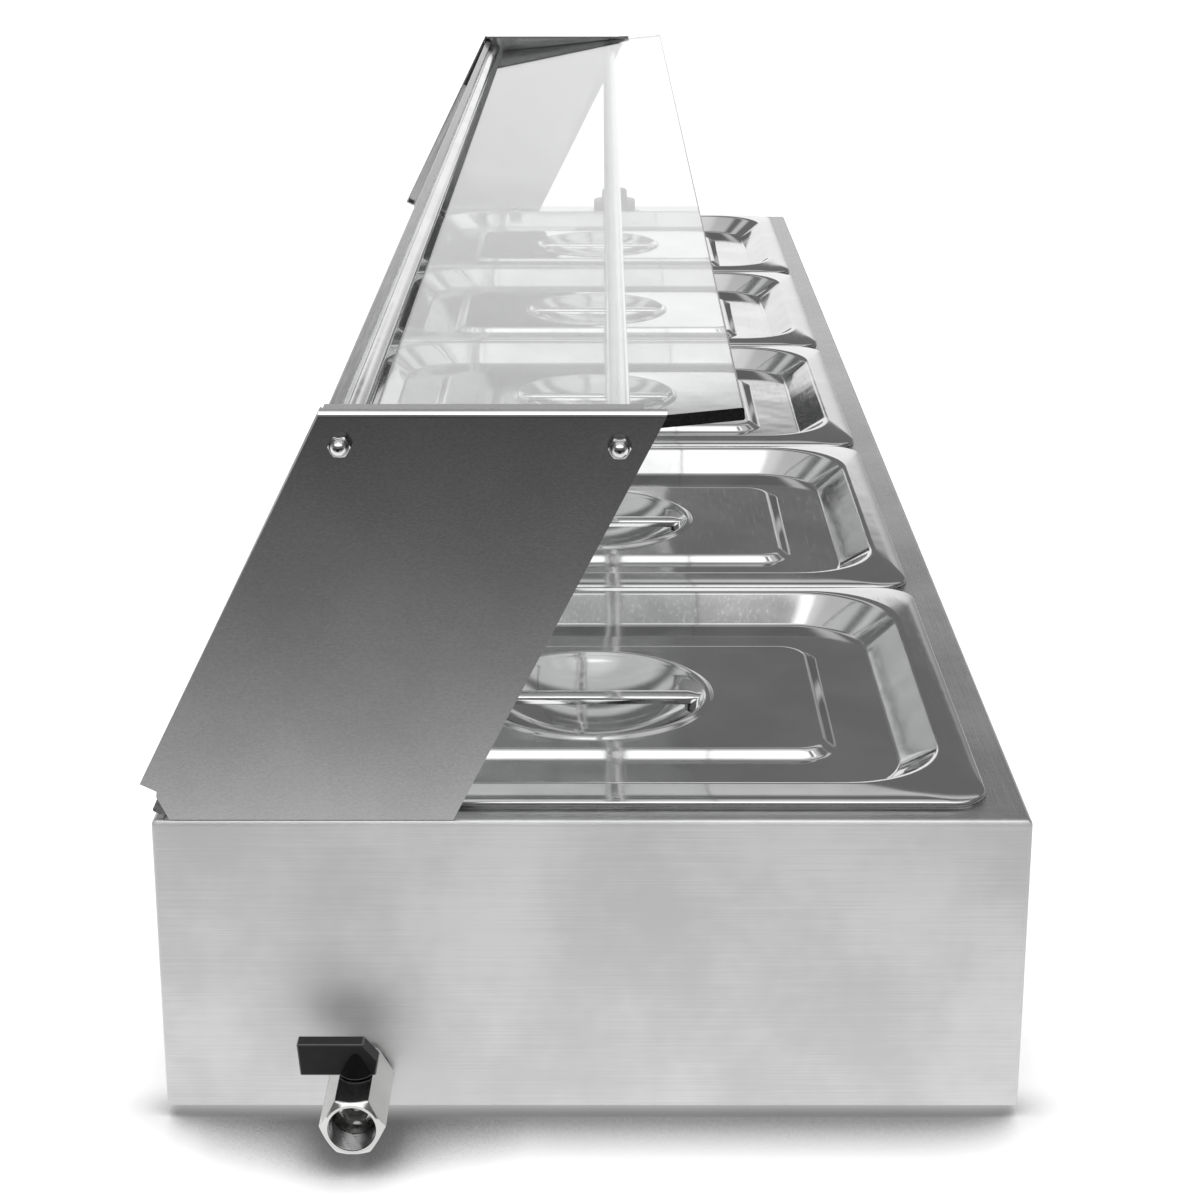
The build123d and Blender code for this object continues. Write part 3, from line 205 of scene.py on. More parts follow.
# Finishes; marks and noise scales count per metre, and a span is where a change starts and ends
MID_TONES = (0.3, 0.7)
BRUSH_ACROSS = 2300
BRUSH_ALONG = 14
BRUSH_DETAIL = 4.0
BRUSH_ROUGH = 0.65
BRUSH_SHARE = 0.3
BRUSH_TONES = (0.36, 0.64)
MITRE_BLEND = 0.3 * MM
UPWARD = (0.6, 0.9)
WALL_TONE = 0.6
DECK_PAINTED_SHADE = 0.4
DECK_GLOSS = 0.4
CLOUD_GLOSS = 0.1
WIPED = (0.5, 0.8)
WIPED_HAZE = 0.05
TOOL_MARK_SHADE = 0.8
WORN_TONES = (0.35, 0.7)
WORN_GAIN = 1.35
WORN_LIFT = 0.004
EDGE_TONES = (0.3, 0.8)
EDGE_ROUGH = 0.16
EDGE_RIPPLE = 0.1
FACET_TONES = (0.1, 0.7)
FACET_SHADE = 0.55


def brushed_sheet(name, low, high, rough, streak):
    """Sheet steel with cloudy patches, brushed across on the end sheets and lengthwise on the others up to
    the mitres; faces that look up are glossier than the walls and get painted shade, a darker base colour."""
    material, finish = new_finish(name)
    place = finish.place()
    across_end = finish.grain(place, (BRUSH_ACROSS, BRUSH_ALONG, BRUSH_ACROSS), BRUSH_DETAIL, BRUSH_ROUGH)
    along_side = finish.grain(place, (BRUSH_ALONG, BRUSH_ACROSS, BRUSH_ACROSS), BRUSH_DETAIL, BRUSH_ROUGH)
    facing = finish.node("ShaderNodeNewGeometry", output="Normal")
    deck_face = finish.split(facing)[2].above(*UPWARD)
    along, across = finish.split(place)[:2]
    past_mitre = abs(along) - abs(across) - (END - SIDE)
    end_sheet = past_mitre.above(-MITRE_BLEND, MITRE_BLEND)
    grain = across_end * end_sheet + along_side * (1 - end_sheet)
    cloud = finish.noise(place, scale=11.0, detail=4.0, rough=0.6)
    tint = grain * BRUSH_SHARE + cloud * (1 - BRUSH_SHARE)
    # Painted shade: faces that look up get a darker base colour than the walls of the same sheet.
    shade = WALL_TONE + (1 - WALL_TONE) * tint.above(*BRUSH_TONES) - deck_face * DECK_PAINTED_SHADE
    finish.dress(Metallic=1.0, Base_Color=finish.tone(shade, low, high),
                 Roughness=rough + grain.swing(streak) + cloud.swing(CLOUD_GLOSS) - deck_face * DECK_GLOSS,
                 Normal=finish.bump(grain * (1 - deck_face), distance=0.05 * MM, strength=0.35),
                 Anisotropic=0.3, Anisotropic_Rotation=0.25)
    return material


def satin_sheet(name, low, high, rough):
    """Smooth rolled sheet steel with a faint cloudiness and a fine tooth."""
    material, finish = new_finish(name)
    place = finish.place()
    cloud = finish.noise(place, scale=18.0, detail=4.0, rough=0.6)
    tooth = finish.grain(place, marks=(900, 900, 1500))
    shade = (cloud * 0.5 + tooth * 0.5).above(*MID_TONES)
    finish.dress(Metallic=1.0, Base_Color=finish.tone(shade, low, high),
                 Roughness=rough + cloud.swing(0.06) + tooth.swing(0.08),
                 Normal=finish.bump(tooth, distance=0.04 * MM, strength=0.3))
    return material


def polished_sheet(name, low, high, rough, wave):
    """Polished pressed steel: nearly a mirror, with a slow waviness and fine wiping marks."""
    material, finish = new_finish(name)
    place = finish.place()
    swell = finish.noise(place, scale=24.0)
    wiping = finish.grain(place, marks=(60, 700, 700))
    finish.dress(Metallic=1.0, Base_Color=finish.tone(swell.above(*MID_TONES), low, high),
                 Roughness=rough + wiping.above(*WIPED) * WIPED_HAZE,
                 Normal=finish.bump(swell, distance=wave, strength=0.5))
    return material


def turned_metal(name, colour, rough):
    """Machined metal with faint tool marks."""
    material, finish = new_finish(name)
    marks = finish.noise(finish.place(), scale=260.0, detail=3.0)
    dark = tuple(channel * TOOL_MARK_SHADE for channel in colour)
    finish.dress(Metallic=1.0, Base_Color=finish.tone(marks.above(*MID_TONES), dark, colour),
                 Roughness=rough + marks.swing(0.12),
                 Normal=finish.bump(marks, distance=0.2 * MM, strength=0.2))
    return material


def moulded_plastic(name, colour, rough, sheen=0.5):
    """Moulded plastic or rubber with a fine pebbled skin."""
    material, finish = new_finish(name)
    place = finish.place()
    pebbles = finish.noise(place, scale=900.0)
    wear = finish.noise(place, scale=60.0, detail=3.0)
    worn = tuple(channel * WORN_GAIN + WORN_LIFT for channel in colour)
    finish.dress(Base_Color=finish.tone(wear.above(*WORN_TONES), colour, worn),
                 Roughness=rough + wear.swing(0.16), Specular_IOR_Level=sheen,
                 Normal=finish.bump(pebbles, distance=0.15 * MM, strength=0.3))
    return material


def clear_pane(name):
    """Clear float glass; light that falls through it is not held back."""
    material, finish = new_finish(name)
    finish.dress(Base_Color=(0.97, 0.985, 0.98, 1), Roughness=0.0, IOR=1.48, Transmission_Weight=1.0)
    lighting = finish.ray("Is Shadow Ray").at_least(finish.ray("Is Diffuse Ray"))
    open_air = finish.node("ShaderNodeBsdfTransparent", None, {"Color": (0.93, 0.95, 0.94, 1)})
    parts = material.node_tree.nodes
    solid = Flow(finish, parts["Principled BSDF"].outputs["BSDF"])
    mixed = finish.node("ShaderNodeMixShader", None, {0: lighting, 1: solid, 2: open_air})
    finish.feed(parts["Material Output"].inputs["Surface"], mixed)
    return material


def ground_edge(name, low, high):
    """A ground edge of a pane, with painted shade: an opaque colour for how dark it looks along the inside
    of the glass.
    """
    material, finish = new_finish(name)
    ripple = finish.grain(finish.place(), marks=(30, 900, 900), detail=3.0)
    finish.dress(Base_Color=finish.tone(ripple.above(*EDGE_TONES), low, high),
                 Roughness=EDGE_ROUGH + ripple * EDGE_RIPPLE, Coat_Weight=0.3)
    return material


def lamp_lens(name, colour):
    """A moulded lamp lens with small facets."""
    material, finish = new_finish(name)
    facets = finish.node("ShaderNodeTexVoronoi", {"feature": "F1"},
                         {"Vector": finish.place(), "Scale": 700.0}, "Distance")
    dark = tuple(channel * FACET_SHADE for channel in colour)
    finish.dress(Base_Color=finish.tone(facets.above(*FACET_TONES), colour, dark),
                 Roughness=0.12, Coat_Weight=0.5,
                 Normal=finish.bump(facets, distance=0.3 * MM, strength=0.4))
    return material


brushed_casing = brushed_sheet("brushed_casing", grey(0.58), grey(1.0), 0.68, 0.14)
brushed_box = brushed_sheet("brushed_box", grey(0.56), grey(0.68), 0.34, 0.2)
tank_steel = satin_sheet("tank_steel", grey(0.45), grey(0.6), 0.32)
guard_steel = satin_sheet("guard_steel", grey(0.47), grey(0.56), 0.2)
pan_steel = satin_sheet("pan_steel", grey(0.6), grey(0.72), 0.2)
dial_metal = satin_sheet("dial_metal", grey(0.62), grey(0.72), 0.3)
lid_steel = polished_sheet("lid_steel", grey(0.7), grey(0.8), 0.07, 0.3 * MM)
rod_steel = polished_sheet("rod_steel", grey(0.72), grey(0.82), 0.1, 0.4 * MM)
nut_steel = polished_sheet("nut_steel", grey(0.74), grey(0.84), 0.06, 0.2 * MM)
# Painted highlight: a brighter, glossier copy of the panel steel for the panels' top bends.
bend_highlight_steel = polished_sheet("bend_highlight_steel", grey(0.85), grey(0.95), 0.12, 0.2 * MM)
nickel = polished_sheet("valve_nickel", (0.66, 0.66, 0.65), (0.84, 0.84, 0.82), 0.14, 0.6 * MM)
screw_steel = turned_metal("screw_steel", grey(0.55), 0.3)
brass = turned_metal("fitting_brass", (0.72, 0.56, 0.27), 0.25)
bore_metal = turned_metal("bore_metal", grey(0.3), 0.28)
element_steel = turned_metal("element_steel", (0.3, 0.29, 0.28), 0.4)
rubber = moulded_plastic("foot_rubber", grey(0.018), 0.75)
seal_rubber = moulded_plastic("seal_rubber", grey(0.03), 0.6)
white_plastic = moulded_plastic("seat_plastic", grey(0.75), 0.4)
lever_plastic = moulded_plastic("lever_plastic", grey(0.007), 0.4, 0.3)
# Painted shade: the hub is the lever's own black plastic, made darker for the shading on it.
lever_hub = moulded_plastic("lever_hub", grey(0.003), 0.6, 0.15)
# Painted highlight: a lighter, glossier copy of the lever's black plastic for the light line along its
# eased edges.
lever_edge_highlight = moulded_plastic("lever_edge_highlight", grey(0.03), 0.2, 1.0)
knob_plastic = moulded_plastic("knob_plastic", grey(0.014), 0.38)
part_plastic = moulded_plastic("part_plastic", grey(0.03), 0.5)
mark_paint = moulded_plastic("mark_paint", grey(0.02), 0.5)
pointer_paint = moulded_plastic("pointer_paint", grey(0.8), 0.45)
glass = clear_pane("clear_glass")
# Painted shade: one ground edge in two copies, near black for the top pane's ends and grey for the other
# edges.
glass_edge = ground_edge("glass_edge", grey(0.004), grey(0.02))
glass_long_edge = ground_edge("glass_long_edge", grey(0.14), grey(0.34))
lens_green = lamp_lens("lens_green", (0.05, 0.42, 0.12))
lens_orange = lamp_lens("lens_orange", (0.85, 0.32, 0.03))

NODE_FINISHES = {
    brushed_casing: ["casing", "base_plate", "cross_bars"],
    brushed_box: ["control_box", "control_base"],
    tank_steel: ["water_tank"],
    guard_steel: ["glass_ledges"],
    rod_steel: ["front_rod", "rear_rod", "lamp_bezels"],
    screw_steel: ["base_screws", "control_screws", "guard_screws", "lever_set_screw", "thermostat_shaft"],
    rubber: ["rubber_feet"],
    seal_rubber: ["valve_washer", "stem_seal", "glass_tapes"],
    element_steel: ["heating_element", "element_clips", "thermostat_bulb"],
    brass: ["element_bushes", "element_nuts", "capillary_gland", "drain_nipple", "valve_stem"],
    nickel: ["valve_retainer", "valve_ball"],
    white_plastic: ["valve_seats", "terminal_block"],
    knob_plastic: ["thermostat_knob"],
    part_plastic: ["thermostat_body", "limit_switch", "cable_gland"],
    dial_metal: ["dial_plate"],
    lens_green: ["lamp_power"],
    lens_orange: ["lamp_heat"],
}
for node_finish, names in NODE_FINISHES.items():
    for name in names:
        finishes = nodes[name].data.materials
        finishes.clear()
        finishes.append(node_finish)


# Mesh helpers

def new_piece(name, mesh, body, replaced, place=(0, 0, 0)):
    """Adds a mesh as a piece that rides on a body and stands for CAD nodes."""
    piece = bpy.data.objects.new(name, mesh)
    scene.collection.objects.link(piece)
    piece.location = place
    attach(piece, body)
    if replaced:
        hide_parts(*replaced)
    return piece


def smooth(mesh, angle):
    for polygon in mesh.polygons:
        polygon.use_smooth = True
    mesh.set_sharp_from_angle(angle=math.radians(angle))


def weighted(piece):
    modifier = piece.modifiers.new("even_normals", "WEIGHTED_NORMAL")
    modifier.keep_sharp = True
    modifier.weight = 80


def thickened(piece, thickness):
    modifier = piece.modifiers.new("sheet", "SOLIDIFY")
    modifier.thickness = thickness
    modifier.offset = -1


SHARP_EDGE = math.radians(40)


def eased(piece, width, segments, finish_slot):
    """Rounds the sharp edges of a piece a little and gives them a finish of their own."""
    modifier = piece.modifiers.new("eased_edges", "BEVEL")
    modifier.width = width
    modifier.segments = segments
    modifier.limit_method = "ANGLE"
    modifier.angle_limit = SHARP_EDGE
    modifier.harden_normals = True
    modifier.material = finish_slot


CORNER_STEPS = 12
SHORT_STEPS = 16
LONG_STEPS = 32
MOST_BEFORE = 0.9
MOST_AFTER = 0.5


def outline(half_x, half_y, corner):
    """Points round a rounded rectangle, the same count every time, counter-clockwise from +X."""
    points = []
    corners = ((1, 1, 0), (-1, 1, 90), (-1, -1, 180), (1, -1, 270))
    for i in range(4):
        sx, sy, start = corners[i]
        centre = Vector((sx * (half_x - corner), sy * (half_y - corner)))
        for step in range(CORNER_STEPS + 1):
            angle = math.radians(start + 90 * step / CORNER_STEPS)
            points.append(centre + Vector((math.cos(angle), math.sin(angle))) * corner)
        nx, ny, next_start = corners[(i + 1) % 4]
        angle = math.radians(next_start)
        far = Vector((nx * (half_x - corner), ny * (half_y - corner)))
        far += Vector((math.cos(angle), math.sin(angle))) * corner
        steps = SHORT_STEPS if i % 2 == 0 else LONG_STEPS
        near = points[-1].copy()
        for step in range(1, steps):
            points.append(near.lerp(far, step / steps))
    return points


def rolled(stations, rolls, steps):
    """Rounds the bends of a profile; a station is (half x, half y, corner, height), and a roll is how far
    before and after a station its bend reaches."""
    rounded = [stations[0]]
    for i in range(1, len(stations) - 1):
        here = Vector(stations[i])
        reach = rolls[i - 1]
        if not reach:
            rounded.append(tuple(here))
            continue
        before = Vector(stations[i - 1]) - here
        after = Vector(stations[i + 1]) - here
        first = here + before * min(MOST_BEFORE, reach / math.hypot(before[0], before[3]))
        last = here + after * min(MOST_AFTER, reach / math.hypot(after[0], after[3]))
        for step in range(steps + 1):
            t = step / steps
            point = first * (1 - t) ** 2 + here * (2 * t * (1 - t)) + last * t ** 2
            rounded.append(tuple(point))
    rounded.append(stations[-1])
    return rounded


def pressed_rings(stations, rolls, steps):
    """The rings of a pressing, from its stations with their bends rounded."""
    rings = []
    for half_x, half_y, corner, height in rolled(stations, rolls, steps):
        rings.append([Vector((p.x, p.y, height)) for p in outline(half_x, half_y, corner)])
    return rings


def lofted(name, rings, material, closed_ends=False):
    """Skins rings of points that have the same count; a ring of one point closes the skin."""
    mesh = bpy.data.meshes.new(name)
    made = bmesh.new()
    rows = [[made.verts.new(point) for point in ring] for ring in rings]
    for lower, upper in zip(rows, rows[1:]):
        count = len(lower)
        for i in range(count):
            j = (i + 1) % count
            if len(upper) == 1:
                made.faces.new((lower[i], lower[j], upper[0]))
            else:
                made.faces.new((lower[i], lower[j], upper[j], upper[i]))
    if closed_ends:
        made.faces.new(list(reversed(rows[0])))
        made.faces.new(rows[-1])
    bmesh.ops.recalc_face_normals(made, faces=made.faces[:])
    made.to_mesh(mesh)
    made.free()
    mesh.materials.append(material)
    return mesh


def joined(name, meshes):
    """One mesh from several, each with one material."""
    whole = bpy.data.meshes.new(name)
    made = bmesh.new()
    slots = []
    for mesh in meshes:
        if mesh.materials[0] not in slots:
            slots.append(mesh.materials[0])
        first = len(made.faces)
        made.from_mesh(mesh)
        made.faces.ensure_lookup_table()
        for face in made.faces[first:]:
            face.material_index = slots.index(mesh.materials[0])
    made.to_mesh(whole)
    made.free()
    for material in slots:
        whole.materials.append(material)
    return whole


# Pans: drawn cups with a flat rim and a turned-down edge
SHEET = 0.8 * MM
PAN_X, PAN_Y = half_size("pan_1")[:2]
PAN_CORNER = 15.0 * MM
PAN_DEPTH = 65.0 * MM
PAN_EDGE_GAP = 0.1 * MM
RIM_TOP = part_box("pan_1")[1].z
RIM = 12.5 * MM + SHEET
CUP_CORNER = 38.2 * MM
DRAFT = math.radians(10)
DRAFT_RUN = PAN_DEPTH * math.tan(DRAFT)
PAN_FLOOR = RIM_TOP - PAN_DEPTH + SHEET
PAN_FLOOR_FRAMES = ((60.0 * MM, 90.0 * MM, 10.0 * MM), (20.0 * MM, 50.0 * MM, 5.0 * MM))
PAN_ROLLS = [1.3 * MM, 3.0 * MM, 11.0 * MM, 0]
PAN_ROLL_STEPS = 7
cup_x = PAN_X - RIM
cup_y = PAN_Y - RIM
pan_stations = [
    (PAN_X, PAN_Y, PAN_CORNER, DECK + PAN_EDGE_GAP),
    (PAN_X, PAN_Y, PAN_CORNER, RIM_TOP),
    (cup_x, cup_y, CUP_CORNER, RIM_TOP),
    (cup_x - DRAFT_RUN, cup_y - DRAFT_RUN, CUP_CORNER - DRAFT_RUN, PAN_FLOOR),
]
pan_stations += [(*floor_frame, PAN_FLOOR) for floor_frame in PAN_FLOOR_FRAMES]
pan_rings = pressed_rings(pan_stations, PAN_ROLLS, PAN_ROLL_STEPS)
pan_rings.append([Vector((0, 0, PAN_FLOOR))])
pan_mesh = lofted("pan", pan_rings, pan_steel)
smooth(pan_mesh, angle=40)

# Lids: pressed sheet with a rolled edge, dished middle, raised field and round hand cup
LID_X, LID_Y = half_size("lid_1")[:2]
LID_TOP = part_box("lid_1")[1].z
FLANGE = 12.0 * MM
FLANGE_FALL = 0.8 * MM
SKIRT = 1.2 * MM
SIDE_SKIRT = -0.4 * MM
SKIRT_FOOT = RIM_TOP + 0.1 * MM
SKIRT_CORNER = PAN_CORNER + SKIRT
DISH_LIFT = 1.2 * MM
DISH_CORNER = 45.0 * MM
SLOPE_RUN = 16.5 * MM
LID_FLOOR = LID_TOP - 11.2 * MM
LID_FLOOR_CORNER = 35.0 * MM
FIELD = LID_FLOOR + 3.75 * MM
FIELD_X = 68.0 * MM
FIELD_Y = 107.0 * MM
FIELD_CORNER = 16.0 * MM
FIELD_RUN = 4.0 * MM
FIELD_SIDE_RUN = 5.5 * MM
FIELD_TOP_CORNER = 12.0 * MM
HAND_CUP = 49.5 * MM
HAND_CUP_DEPTH = 16.0 * MM
HAND_CUP_SPHERE = (HAND_CUP ** 2 + HAND_CUP_DEPTH ** 2) / (2 * HAND_CUP_DEPTH)
HAND_CUP_STEPS = 26
HAND_CUP_START = 0.995
BEAD_EDGE = HAND_CUP + 6.3 * MM
BEAD_LIFT = 1.5 * MM
BEAD_ROUNDING = 1.5
BEAD_STEPS = 12
BEAD_MARGIN_X = 2.0 * MM
BEAD_MARGIN_Y = 6.0 * MM
BEAD_FRAME_CORNER = 10.0 * MM
LID_ROLLS = [7.5 * MM, 2.0 * MM, 1.4 * MM, 1.2 * MM, 1.6 * MM]
LID_ROLL_STEPS = 9
skirt_x = PAN_X + SKIRT
skirt_y = PAN_Y + SIDE_SKIRT
dish_x = LID_X - FLANGE
dish_y = LID_Y - FLANGE
top_x = FIELD_X - FIELD_RUN
top_y = FIELD_Y - FIELD_SIDE_RUN
bead_frame = (BEAD_EDGE + BEAD_MARGIN_X, top_y - BEAD_MARGIN_Y, BEAD_FRAME_CORNER)
lid_stations = [
    (skirt_x, skirt_y, SKIRT_CORNER, SKIRT_FOOT),
    (skirt_x, skirt_y, SKIRT_CORNER, LID_TOP - FLANGE_FALL),
    (dish_x, dish_y, DISH_CORNER, LID_TOP + DISH_LIFT),
    (dish_x - SLOPE_RUN, dish_y - SLOPE_RUN, LID_FLOOR_CORNER, LID_FLOOR),
    (FIELD_X, FIELD_Y, FIELD_CORNER, LID_FLOOR),
    (top_x, top_y, FIELD_TOP_CORNER, FIELD),
    (*bead_frame, FIELD),
]
lid_rings = pressed_rings(lid_stations, LID_ROLLS, LID_ROLL_STEPS)
cup_places = [(BEAD_EDGE, FIELD)]
for step in range(1, BEAD_STEPS):
    t = step / BEAD_STEPS
    radius = BEAD_EDGE + (HAND_CUP - BEAD_EDGE) * t
    cup_places.append((radius, FIELD + BEAD_LIFT * math.sin(math.pi * t) ** BEAD_ROUNDING))
for step in range(HAND_CUP_STEPS):
    radius = HAND_CUP * (1 - step / HAND_CUP_STEPS) * HAND_CUP_START
    drop = HAND_CUP_DEPTH - HAND_CUP_SPHERE + math.sqrt(HAND_CUP_SPHERE ** 2 - radius ** 2)
    cup_places.append((radius, FIELD - drop))
cup_turns = [math.atan2(p.y, p.x) for p in outline(*bead_frame)]
for radius, height in cup_places:
    lid_rings.append([Vector((math.cos(a) * radius, math.sin(a) * radius, height)) for a in cup_turns])
lid_rings.append([Vector((0, 0, FIELD - HAND_CUP_DEPTH))])
lid_mesh = lofted("lid", lid_rings, lid_steel)
smooth(lid_mesh, angle=40)

# Lid handles: a rolled bar across the cup, pinched and welded at its ends
BAR_HALF = HAND_CUP + 0.8 * MM
BAR_WIDE = 4.8 * MM
BAR_THICK = 4.6 * MM
BAR_CROWN = BAR_THICK * 0.6
BAR_TOP = FIELD + 1.0 * MM
BAR_LEVEL = BAR_TOP - BAR_CROWN
BAR_SIDE_ROUNDING = 0.7
BAR_TOP_ROUNDING = 0.75
BAR_STEPS = 16
BAR_UNDERSIDE = ((-1.0, 0.25), (-0.8, 0.4), (0.8, 0.4), (1.0, 0.25))
PINCHED_END = [(1.0, 0.62), (0.955, 0.66), (0.925, 0.82), (0.89, 0.96), (0.85, 1.0), (0.4, 1.0)]
bar_section = []
for step in range(BAR_STEPS + 1):
    angle = math.radians(180 * step / BAR_STEPS)
    side = math.copysign(abs(math.cos(angle)) ** BAR_SIDE_ROUNDING, math.cos(angle))
    bar_section.append((side * BAR_WIDE, math.sin(angle) ** BAR_TOP_ROUNDING * BAR_CROWN))
for side, depth in BAR_UNDERSIDE:
    bar_section.append((BAR_WIDE * side, -BAR_THICK * depth))
bar_places = [(-where, size) for where, size in PINCHED_END] + [(0.0, 1.0)] + PINCHED_END[::-1]
bar_rings = []
for where, size in bar_places:
    bar_rings.append([Vector((x * size, where * BAR_HALF, BAR_LEVEL + z * size)) for x, z in bar_section])
bar_mesh = lofted("lid_bar", bar_rings, lid_steel, True)
smooth(bar_mesh, angle=50)

for number in range(1, PAN_COUNT + 1):
    centre_x, centre_y = middle("pan_%d" % number)[:2]
    for name, mesh, body, slot in (("pan", pan_mesh, "pan_unit_%d", "pan_steel"),
                                   ("lid", lid_mesh, "lid_unit_%d", "polished_steel"),
                                   ("lid_handle", bar_mesh, "lid_unit_%d", "polished_steel")):
        node_name = "%s_%d" % (name, number)
        piece = new_piece("pressed_" + node_name, mesh, body % number, (node_name,),
                          (centre_x, centre_y, 0))
        if name != "lid_handle":
            thickened(piece, SHEET)
            weighted(piece)


# Glass panes with ground edges
PANE_FACE = 20 * MM


def pane(name, node_name, end_finish):
    """A pane with clear faces and ground edges, on the section of its solid."""
    low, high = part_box(node_name)
    corners = {(round(v.co.y, 5), round(v.co.z, 5)) for v in nodes[node_name].data.vertices}
    centre = sum((Vector(corner) for corner in corners), Vector((0, 0))) / len(corners)
    section = sorted(corners, key=lambda corner: math.atan2(corner[1] - centre.y, corner[0] - centre.x))
    made = bmesh.new()
    ends = [[made.verts.new((x, y, z)) for y, z in section] for x in (low.x, high.x)]
    count = len(section)
    for i in range(count):
        j = (i + 1) % count
        face = made.faces.new((ends[0][i], ends[0][j], ends[1][j], ends[1][i]))
        span = (Vector(section[i]) - Vector(section[j])).length
        face.material_index = 0 if span > PANE_FACE else 2
    for end in ends:
        made.faces.new(end).material_index = 1
    bmesh.ops.recalc_face_normals(made, faces=made.faces[:])
    mesh = bpy.data.meshes.new(name)
    made.to_mesh(mesh)
    made.free()
    for material in (glass, end_finish, glass_long_edge):
        mesh.materials.append(material)
    return new_piece(name, mesh, "body", (node_name,))


pane("front_pane", "front_glass", glass_long_edge)
pane("top_pane", "top_glass", glass_edge)


# End panels: folded sheet, with the bend rounder than the faces and a painted highlight, a brighter and
# glossier steel on the bend
DRAWN_BEND = 1.0 * MM
PANEL_SHEET = 1.2 * MM
BEND_GROWTH = 2.7
BEND_SLACK = 1.05
TOP_FACE = 0.05 * MM


def folded_panel(name, node_name, side):
    """An end panel from its solid, with the top bend grown; side is the way that it faces along X."""
    low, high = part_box(node_name)
    outer = max(side * low.x, side * high.x)
    mesh = nodes[node_name].data.copy()
    mesh.materials.clear()
    mesh.materials.append(guard_steel)
    mesh.materials.append(bend_highlight_steel)
    bent = set()
    for vertex in mesh.vertices:
        back = outer - side * vertex.co.x
        down = high.z - vertex.co.z
        on_bend = max(back, down) < DRAWN_BEND * BEND_SLACK
        on_top_edge = down < TOP_FACE and back < PANEL_SHEET * BEND_SLACK
        if on_bend or on_top_edge:
            vertex.co.x = side * (outer - back * BEND_GROWTH)
            vertex.co.z = high.z - down * BEND_GROWTH
        if on_bend:
            bent.add(vertex.index)
    # The bend's faces take the painted highlight finish.
    for face in mesh.polygons:
        face.material_index = 1 if bent.issuperset(face.vertices) else 0
    smooth(mesh, angle=30)
    return new_piece(name, mesh, "body", (node_name,))


folded_panel("tap_panel", "guard_panel_tap", 1)
folded_panel("control_panel", "guard_panel_control", -1)


# Turned parts
TURN_STEPS = 120


def around_x(x, radius_at):
    """A ring of points round the X axis; radius_at gives the radius at an angle from straight up."""
    ring = []
    for step in range(TURN_STEPS):
        angle = FULL_TURN * step / TURN_STEPS
        radius = radius_at(angle)
        ring.append(Vector((x, -math.sin(angle) * radius, math.cos(angle) * radius)))
    return ring


def around_z(x, y, radius, height, steps):
    """A ring of points round an upright axis."""
    ring = []
    for step in range(steps):
        angle = FULL_TURN * step / steps
        ring.append(Vector((x + math.cos(angle) * radius, y + math.sin(angle) * radius, height)))
    return ring


def hex_turned(name, stations, flats, material):
    """A hexagon bar turned along X; a station is (place along X, turned radius)."""
    def hex_radius(angle):
        off_flat = (angle + math.pi / 6) % (math.pi / 3) - math.pi / 6
        return flats / 2 / math.cos(off_flat)

    rings = []
    for x, limit in stations:
        rings.append(around_x(x, lambda angle: min(hex_radius(angle), limit)))
    return lofted(name, rings, material)


# Acorn nuts on the guard rods
NUT_FLATS = 8.0 * MM
NUT_HEX = 3.3 * MM
NUT_CHAMFER = 4.66 * MM
CHAMFER_STEPS = 5
CHAMFER_ALONG = 0.175 * MM
CHAMFER_IN = 0.16 * MM
DOME_START = 4.1 * MM
DOME_HEIGHT = 4.4 * MM
DOME_RADIUS = 3.7 * MM
DOME_ROUNDING = 0.9
DOME_STEPS = 12
nut_stations = [(0, NUT_FLATS), (NUT_HEX, NUT_FLATS)]
for step in range(CHAMFER_STEPS):
    nut_stations.append((NUT_HEX + CHAMFER_ALONG * step, NUT_CHAMFER - CHAMFER_IN * step))
for step in range(DOME_STEPS):
    angle = math.radians(90 * step / DOME_STEPS)
    nut_stations.append((DOME_START + math.sin(angle) * DOME_HEIGHT,
                         math.cos(angle) ** DOME_ROUNDING * DOME_RADIUS))
nut_mesh = hex_turned("acorn_nut", nut_stations, NUT_FLATS, nut_steel)
smooth(nut_mesh, angle=30)
tap_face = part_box("guard_panel_tap")[1].x
control_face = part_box("guard_panel_control")[0].x
nut_parts = []
for rod in ("front_rod", "rear_rod"):
    rod_y, rod_z = middle(rod)[1:]
    for face, turn in ((tap_face, 0), (control_face, math.pi)):
        part = nut_mesh.copy()
        part.transform(Matrix.Translation((face, rod_y, rod_z)) @ Matrix.Rotation(turn, 4, "Z"))
        nut_parts.append(part)
new_piece("turned_acorn_nuts", joined("acorn_nuts", nut_parts), "body", ("acorn_nuts",))

# Drain valve: hexagon body with a chamfered mouth and a female pipe thread
valve_low, valve_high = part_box("valve_body")
VALVE_Y = middle("valve_body")[1]
VALVE_FLATS = 23.16 * MM
VALVE_Z = valve_low.z + VALVE_FLATS / 2
VALVE_CORNERS = VALVE_FLATS / math.sqrt(3)
REAR_CHAMFER = 0.5 * MM
MOUTH_CHAMFER = 2.4 * MM
MOUTH_STEPS = 8
RING = 10.8 * MM
MOUTH = 9.7 * MM
THREAD = 10.3 * MM
THREAD_DEPTH = 1.1 * MM
THREAD_PITCH = 1.81 * MM
THREAD_START = 1.2 * MM
THREAD_LENGTH = 12.0 * MM
THREAD_STEPS = 72
CHAMBER = 9.0 * MM
CHAMBER_END = 20.0 * MM
STEM_X = middle("valve_stem")[0]
BOSS = 5.4 * MM
BOSS_FOOT = BOSS + 0.8 * MM
BOSS_LIP = BOSS - 0.3 * MM
BOSS_BORE = 4.1 * MM
BOSS_TOP = 2.0 * MM
BOSS_STEPS = 48


